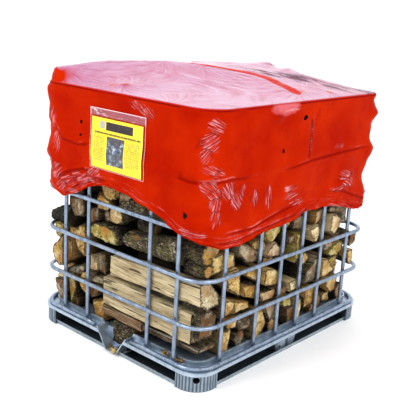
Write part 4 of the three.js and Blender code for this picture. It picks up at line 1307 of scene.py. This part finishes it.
# Where it is creased: how far above the crease, how strongly, and how far above the hem, or on top how
# far from the sharp tips
apart, part, above = distance_to_line(x / MM, y / MM, [point[:2] for point in LOG_EDGE])
edge_mark = np.clip(np.minimum(part * 2.5, (1 - part) * 8), 0, 1) * (apart < EDGE_REACH)
to_tip = np.min([np.hypot(x / MM - tip_x, y / MM - tip_y) for tip_x, tip_y, pull in TIPS if pull < 1], 0)
paint_points(hood, wrinkled=wrinkled, creased=np.stack([
    np.where(on_top, apart * above * MM, crease_far), np.where(on_top, edge_mark, crease_mark),
    np.where(on_top, to_tip, above_hem) * MM], 1))

# Tears
torn = np.zeros(len(x), bool)
ragged = 1 + 0.5 * crinkle(body, 0.01, 41)
for side, tears in TEARS.items():
    where, belongs = SIDES[side]
    for place, middle, radius in tears:
        apart = np.hypot((where - place) / 0.8, height - middle)
        torn |= (apart < radius * ragged) & (belongs > 0.6) & on_side
cut_away(hood, "VERT", hood.data.vertices, torn)
bpy.ops.mesh.normals_make_consistent(inside=False)
bpy.ops.object.mode_set(mode="OBJECT")
bpy.ops.object.shade_smooth()


def red_film(name):
    """Red stretch film: deep where it is tight, with painted highlights and shade along its wrinkles and
    creases, and pale on top from a painted reflection of the sky.
    """
    film = Finish(name)
    place = film.place()
    x, y, height = place.parts()
    wrinkled, creased = (film.node("ShaderNodeAttribute", {"attribute_name": field}, out="Vector")
                         for field in ("wrinkled", "creased"))
    wrinkle = wrinkled.parts()[2]
    crease_far, crease_mark, above_hem = creased.parts()
    top = height.range(1.098, 1.106)
    side = 1 - top
    broad = film.noise(place, 5)
    patch = film.noise(place, 17, detail=4)
    fine = film.noise(place, 60, detail=4, roughness=0.6)
    runs = film.noise(wrinkled, (1, 1, 0), detail=2, roughness=0.5, distortion=0.15)
    wrinkle_edge = (wrinkle + (patch - 0.5) * 1.2 + (fine - 0.5) * 1.0).range(0.12, 0.60)
    # Painted highlights on the wrinkle ridges and along each crease, and painted shade in the wrinkle troughs
    # and under each crease
    glints = runs.range(0.515, 0.60) * wrinkle_edge * side
    hollow_shade = runs.range(0.44, 0.36) * wrinkle_edge * side
    crest = abs(crease_far - 0.0035).range(0.0045, 0.0015) * crease_mark * fine.range(0.34, 0.52) * side
    gully_shade = abs(crease_far + 0.006).range(0.009, 0.002) * crease_mark * side
    # Painted highlights and painted shade along the rolled hem
    hem_place = film.node("ShaderNodeCombineXYZ", inputs={0: above_hem * 130, 1: x * 9, 2: y * 9})
    hem_runs = film.noise(hem_place, 1.0, distortion=0.5)
    near_hem = above_hem.range(0.060, 0.006) * side
    hem_lights = hem_runs.range(0.56, 0.66) * near_hem
    hem_shade = hem_runs.range(0.44, 0.34) * near_hem

    # The sides: deep red, with a painted pale highlight at one spot under the ring, and seamed along it
    highlight_patch = ((y + 0.165) * 10.0) ** 2 + ((height - 1.095) * 26.0) ** 2 + (patch - 0.5) * 2.2
    highlight_patch = highlight_patch.range(1.0, 0.2) * x.range(0.45, 0.48) * side
    seam = abs(height - 1.0978).range(0.0040, 0.0014) * broad.range(0.36, 0.48) * (1 - highlight_patch) * side
    # A soft painted sheen over the wrinkled places
    wrinkle_sheen = (wrinkle + (fine - 0.5) * 1.5 + (patch - 0.5) * 0.8).range(0.35, 1.0) * side
    white = (glints + crest * broad.range(0.50, 0.62) * 0.5 + hem_lights * 0.5).range(0.0, 1.0)
    colour = film.mix(
        (0.350, 0.0105, 0.0003), ((0.450, 0.0225, 0.0006), broad.range(0.35, 0.65)),
        ((0.20, 0.002, 0.0006), patch.range(0.60, 0.80) * 0.5),
        ((0.16, 0.001, 0.0006), (hollow_shade + gully_shade + hem_shade).range(0.0, 1.0) * 0.6),
        ((0.58, 0.16, 0.18), highlight_patch * 0.8), ((0.13, 0.003, 0.006), seam * 0.85),
        ((0.52, 0.09, 0.09), wrinkle_sheen * 0.30), ((0.62, 0.27, 0.31), white * patch.range(0.36, 0.62, 0.15, 1.0)))

    # The top: pale where it lies level, from a painted reflection of the sky, with painted shade down one
    # slope and painted highlights and shade on its fine folds; red along the log's edge and at the tips
    swirl = film.noise(place, (4, 4, 1), distortion=0.8)
    # Painted shade down one slope of the top
    slope_shade = abs(x * 0.53 - y * 0.85 + 0.155).range(0.12, 0.04) * y.range(0.15, 0.21)
    slope_shade = slope_shade * film.noise(place, (8, 26, 1), detail=4).range(0.40, 0.54)
    edge = (abs(crease_far + 0.007) - crease_mark * 0.025).range(0.003, -0.003)
    edge = edge * crease_mark.range(0.02, 0.15)
    tips = (above_hem + (fine - 0.5) * 0.020).range(0.021, 0.012) * top
    pale = film.mix(
        (0.385, 0.088, 0.185), ((0.415, 0.190, 0.315), (swirl * 0.6 + runs * 0.5).range(0.44, 0.66)),
        ((0.24, 0.012, 0.045), runs.range(0.45, 0.34) * wrinkle * 0.45),
        ((0.48, 0.30, 0.42), runs.range(0.56, 0.68) * wrinkle * 0.36), ((0.060, 0.010, 0.022), slope_shade * 0.80),
        ((0.48, 0.010, 0.001), edge), ((0.40, 0.010, 0.001), tips))
    # Where the top lies level it takes the pale colour, a painted reflection of the sky
    top_reflection = film.node("ShaderNodeNewGeometry", out="Normal").parts()[2].range(0.80, 0.955) * top
    colour = film.mix(colour, (pale, top_reflection))

    ridges = (runs - 0.5) * (wrinkle_edge * side * 1.8 + top * wrinkle * 0.35)
    ridges = ridges + (hem_runs - 0.5) * near_hem * 0.8
    level = film.noise(place, (3, 3, 40), detail=2)
    shine = (white * 0.4 + top_reflection * (1 - edge) * (1 - slope_shade) * 0.60).range(0.0, 1.0)
    return film.surface(Base_Color=colour, Roughness=patch.range(0.3, 0.7, 0.18, 0.32),
                        Normal=film.bump(ridges + fine * 0.05 + level * 0.12, 0.005),
                        Specular_IOR_Level=0.012, Coat_Weight=shine, Coat_Roughness=0.25, Coat_IOR=1.6)


settle(hood, "film_sheet", red_film("stretched_red_film"), "red_film", ["film_hood"])


# ---- Document pouch and card -----------------------------------------------------------------
# A clear film pouch welded to the front of the hood, open along its top, with a printed yellow
# card in it. The card's print is plain blocks and rules.
POUCH_GRID, CARD_GRID = 60, 50
POUCH_GAP, CARD_GAP = 0.0060, 0.0045
POUCH_IRONING, CARD_IRONING = 30, 40
BEFORE_FILM = -0.64


def middle_and_size(node):
    low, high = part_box(node)
    return (low + high) / 2, high - low


def laid_on_film(node, cells, gap, rounds, seed):
    """A flat piece at a node's place, projected on to the film and ironed a little, so that it doesn't
    follow every crease under it."""
    middle, size = middle_and_size(node)
    deselect_all()
    bpy.ops.mesh.primitive_grid_add(x_subdivisions=cells, y_subdivisions=cells, size=1,
                                    rotation=(math.pi / 2, 0, 0), location=(middle.x, BEFORE_FILM, middle.z))
    piece = bpy.context.object
    piece.scale = (size.x, size.z, 1)
    bpy.ops.object.transform_apply(location=True, rotation=True, scale=True)
    wrap = piece.modifiers.new("wrap", "SHRINKWRAP")
    wrap.target = hood
    wrap.wrap_method = "PROJECT"
    wrap.use_project_y = True
    wrap.use_positive_direction = True
    wrap.use_negative_direction = True
    bpy.ops.object.modifier_apply(modifier="wrap")
    spots = points_of(piece)
    spots[:, 1] -= gap + 0.0006 * crinkle(spots, 0.05, seed)
    set_points(piece, spots)
    ironing = piece.modifiers.new("ironing", "SMOOTH")
    ironing.iterations = rounds
    ironing.use_x = ironing.use_z = False
    bpy.ops.object.modifier_apply(modifier="ironing")
    bpy.ops.object.shade_smooth()
    return piece


def printed_card(name, middle):
    """Yellow printed card: a blank dark band, a plain picture block and fine rules."""
    card = Finish(name)
    local = card.place().minus(tuple(middle))
    across, _, up = local.parts()

    def block(x0, x1, z0, z1):
        edge = 0.0006
        inside = across.range(x0, x0 + edge) * across.range(x1, x1 - edge)
        return inside * up.range(z0, z0 + edge) * up.range(z1, z1 - edge)

    rules = ((up * 900).maths("SINE") * 0.5 + 0.5) * card.noise(local, (160, 1, 60)).range(0.42, 0.50)
    text = block(-0.135, -0.070, -0.075, 0.030) + block(0.055, 0.135, -0.075, 0.030)
    headline = block(-0.130, 0.138, 0.038, 0.046) * card.noise(local, (260, 1, 1)).range(0.40, 0.46)
    picture = card.ramp(card.noise(local, (55, 55, 70), detail=5, roughness=0.7),
                        (0.30, (0.012, 0.016, 0.030)), (0.47, (0.09, 0.07, 0.08)), (0.52, (0.05, 0.13, 0.16)),
                        (0.60, (0.20, 0.24, 0.32)), (0.70, (0.75, 0.80, 0.90)))
    sheen = card.noise(local, 30)
    colour = card.mix(
        (0.80, 0.66, 0.006), ((0.86, 0.76, 0.05), card.noise(local, 14, detail=2)),
        ((0.16, 0.12, 0.03), (rules * text).range(0.20, 0.55) * 0.70), ((0.10, 0.05, 0.01), headline * 0.95),
        ((0.012, 0.012, 0.013), block(-0.064, 0.092, 0.056, 0.090)),
        ((0.42, 0.43, 0.38), block(-0.100, -0.070, 0.060, 0.090)),
        (picture, block(-0.055, 0.048, -0.082, 0.033)))
    return card.surface(Base_Color=colour, Roughness=sheen.range(0.3, 0.7, 0.16, 0.34),
                        Normal=card.bump(sheen, 0.0012, 0.5))


def clear_film(name, middle, size):
    """Thin clear film with milky creases and a white weld all round."""
    clear = Finish(name)
    local = clear.place().minus(tuple(middle))
    across, _, up = local.parts()
    weld = abs(across).range(size.x / 2 - 0.0045, size.x / 2 - 0.002).maths(
        "MAXIMUM", abs(up).range(size.z / 2 - 0.004, size.z / 2 - 0.002))
    crease = clear.noise(local, (16, 1, 60), detail=4, distortion=1.6)
    above_card = up.range(0.090, 0.096)
    milky = crease.range(0.56, 0.68) * (above_card * 0.55 + 0.06)
    alpha = (milky + weld * 0.35 + above_card * 0.42 + 0.05).maths("MINIMUM", 1.0)
    tint = clear.mix((0.42, 0.20, 0.24), ((0.86, 0.74, 0.80), milky.maths("MAXIMUM", weld)))
    return clear.surface(Base_Color=tint, Alpha=alpha, Roughness=crease.range(0.3, 0.7, 0.10, 0.22),
                         Normal=clear.bump(crease, 0.003, 0.7))


card = laid_on_film("label_card", CARD_GRID, CARD_GAP, CARD_IRONING, 4)
settle(card, "printed_card", printed_card("printed_card", middle_and_size("label_card")[0]), "yellow_card",
       ["label_card"])
pouch = laid_on_film("document_pouch", POUCH_GRID, POUCH_GAP, POUCH_IRONING, 5)
settle(pouch, "pouch_film", clear_film("clear_film", *middle_and_size("document_pouch")), "clear_pouch",
       ["document_pouch"])

# ---- Floor and light -------------------------------------------------------------------------
# A pale floor that takes the shadow, a soft white sky all round, and three large soft lamps: one in
# front, one at the right and a weak one behind, which the film's top mirrors.
FLOOR_SIZE, FLOOR_Z = 40, -0.0005
# Name, place, height of the point that it is turned to, size and watts
LAMPS = (("key_lamp", (-1.2, -4.2, 4.2), 0.6, 2.2, 112), ("side_lamp", (4.6, -0.6, 3.2), 0.6, 2.5, 84),
         ("sky_panel", (-3.6, 4.6, 2.6), 1.1, 4.5, 25))
deselect_all()
bpy.ops.mesh.primitive_plane_add(size=FLOOR_SIZE, location=(0, 0, FLOOR_Z))
floor = bpy.context.object
floor.name = "floor"
pale = Finish("pale_floor")
floor.data.materials.append(pale.surface(Base_Color=(0.90, 0.90, 0.90), Roughness=0.9))

for name, place, aim_z, size, watts in LAMPS:
    lamp = bpy.data.objects.new(name, bpy.data.lights.new(name, "AREA"))
    lamp.data.size = size
    lamp.data.energy = watts
    lamp.location = place
    lamp.rotation_euler = (Vector((0, 0, aim_z)) - Vector(place)).to_track_quat("-Z", "Y").to_euler()
    lamp.visible_camera = False
    bpy.context.scene.collection.objects.link(lamp)

world = bpy.data.worlds.new("sky")
bpy.context.scene.world = world
world.use_nodes = True
sky = world.node_tree.nodes["Background"]
sky.inputs["Color"].default_value = (1.0, 1.0, 1.0, 1)
sky.inputs["Strength"].default_value = 1.0
bpy.context.scene.view_settings.view_transform = "Standard"
bpy.context.scene.view_settings.look = "Medium High Contrast"
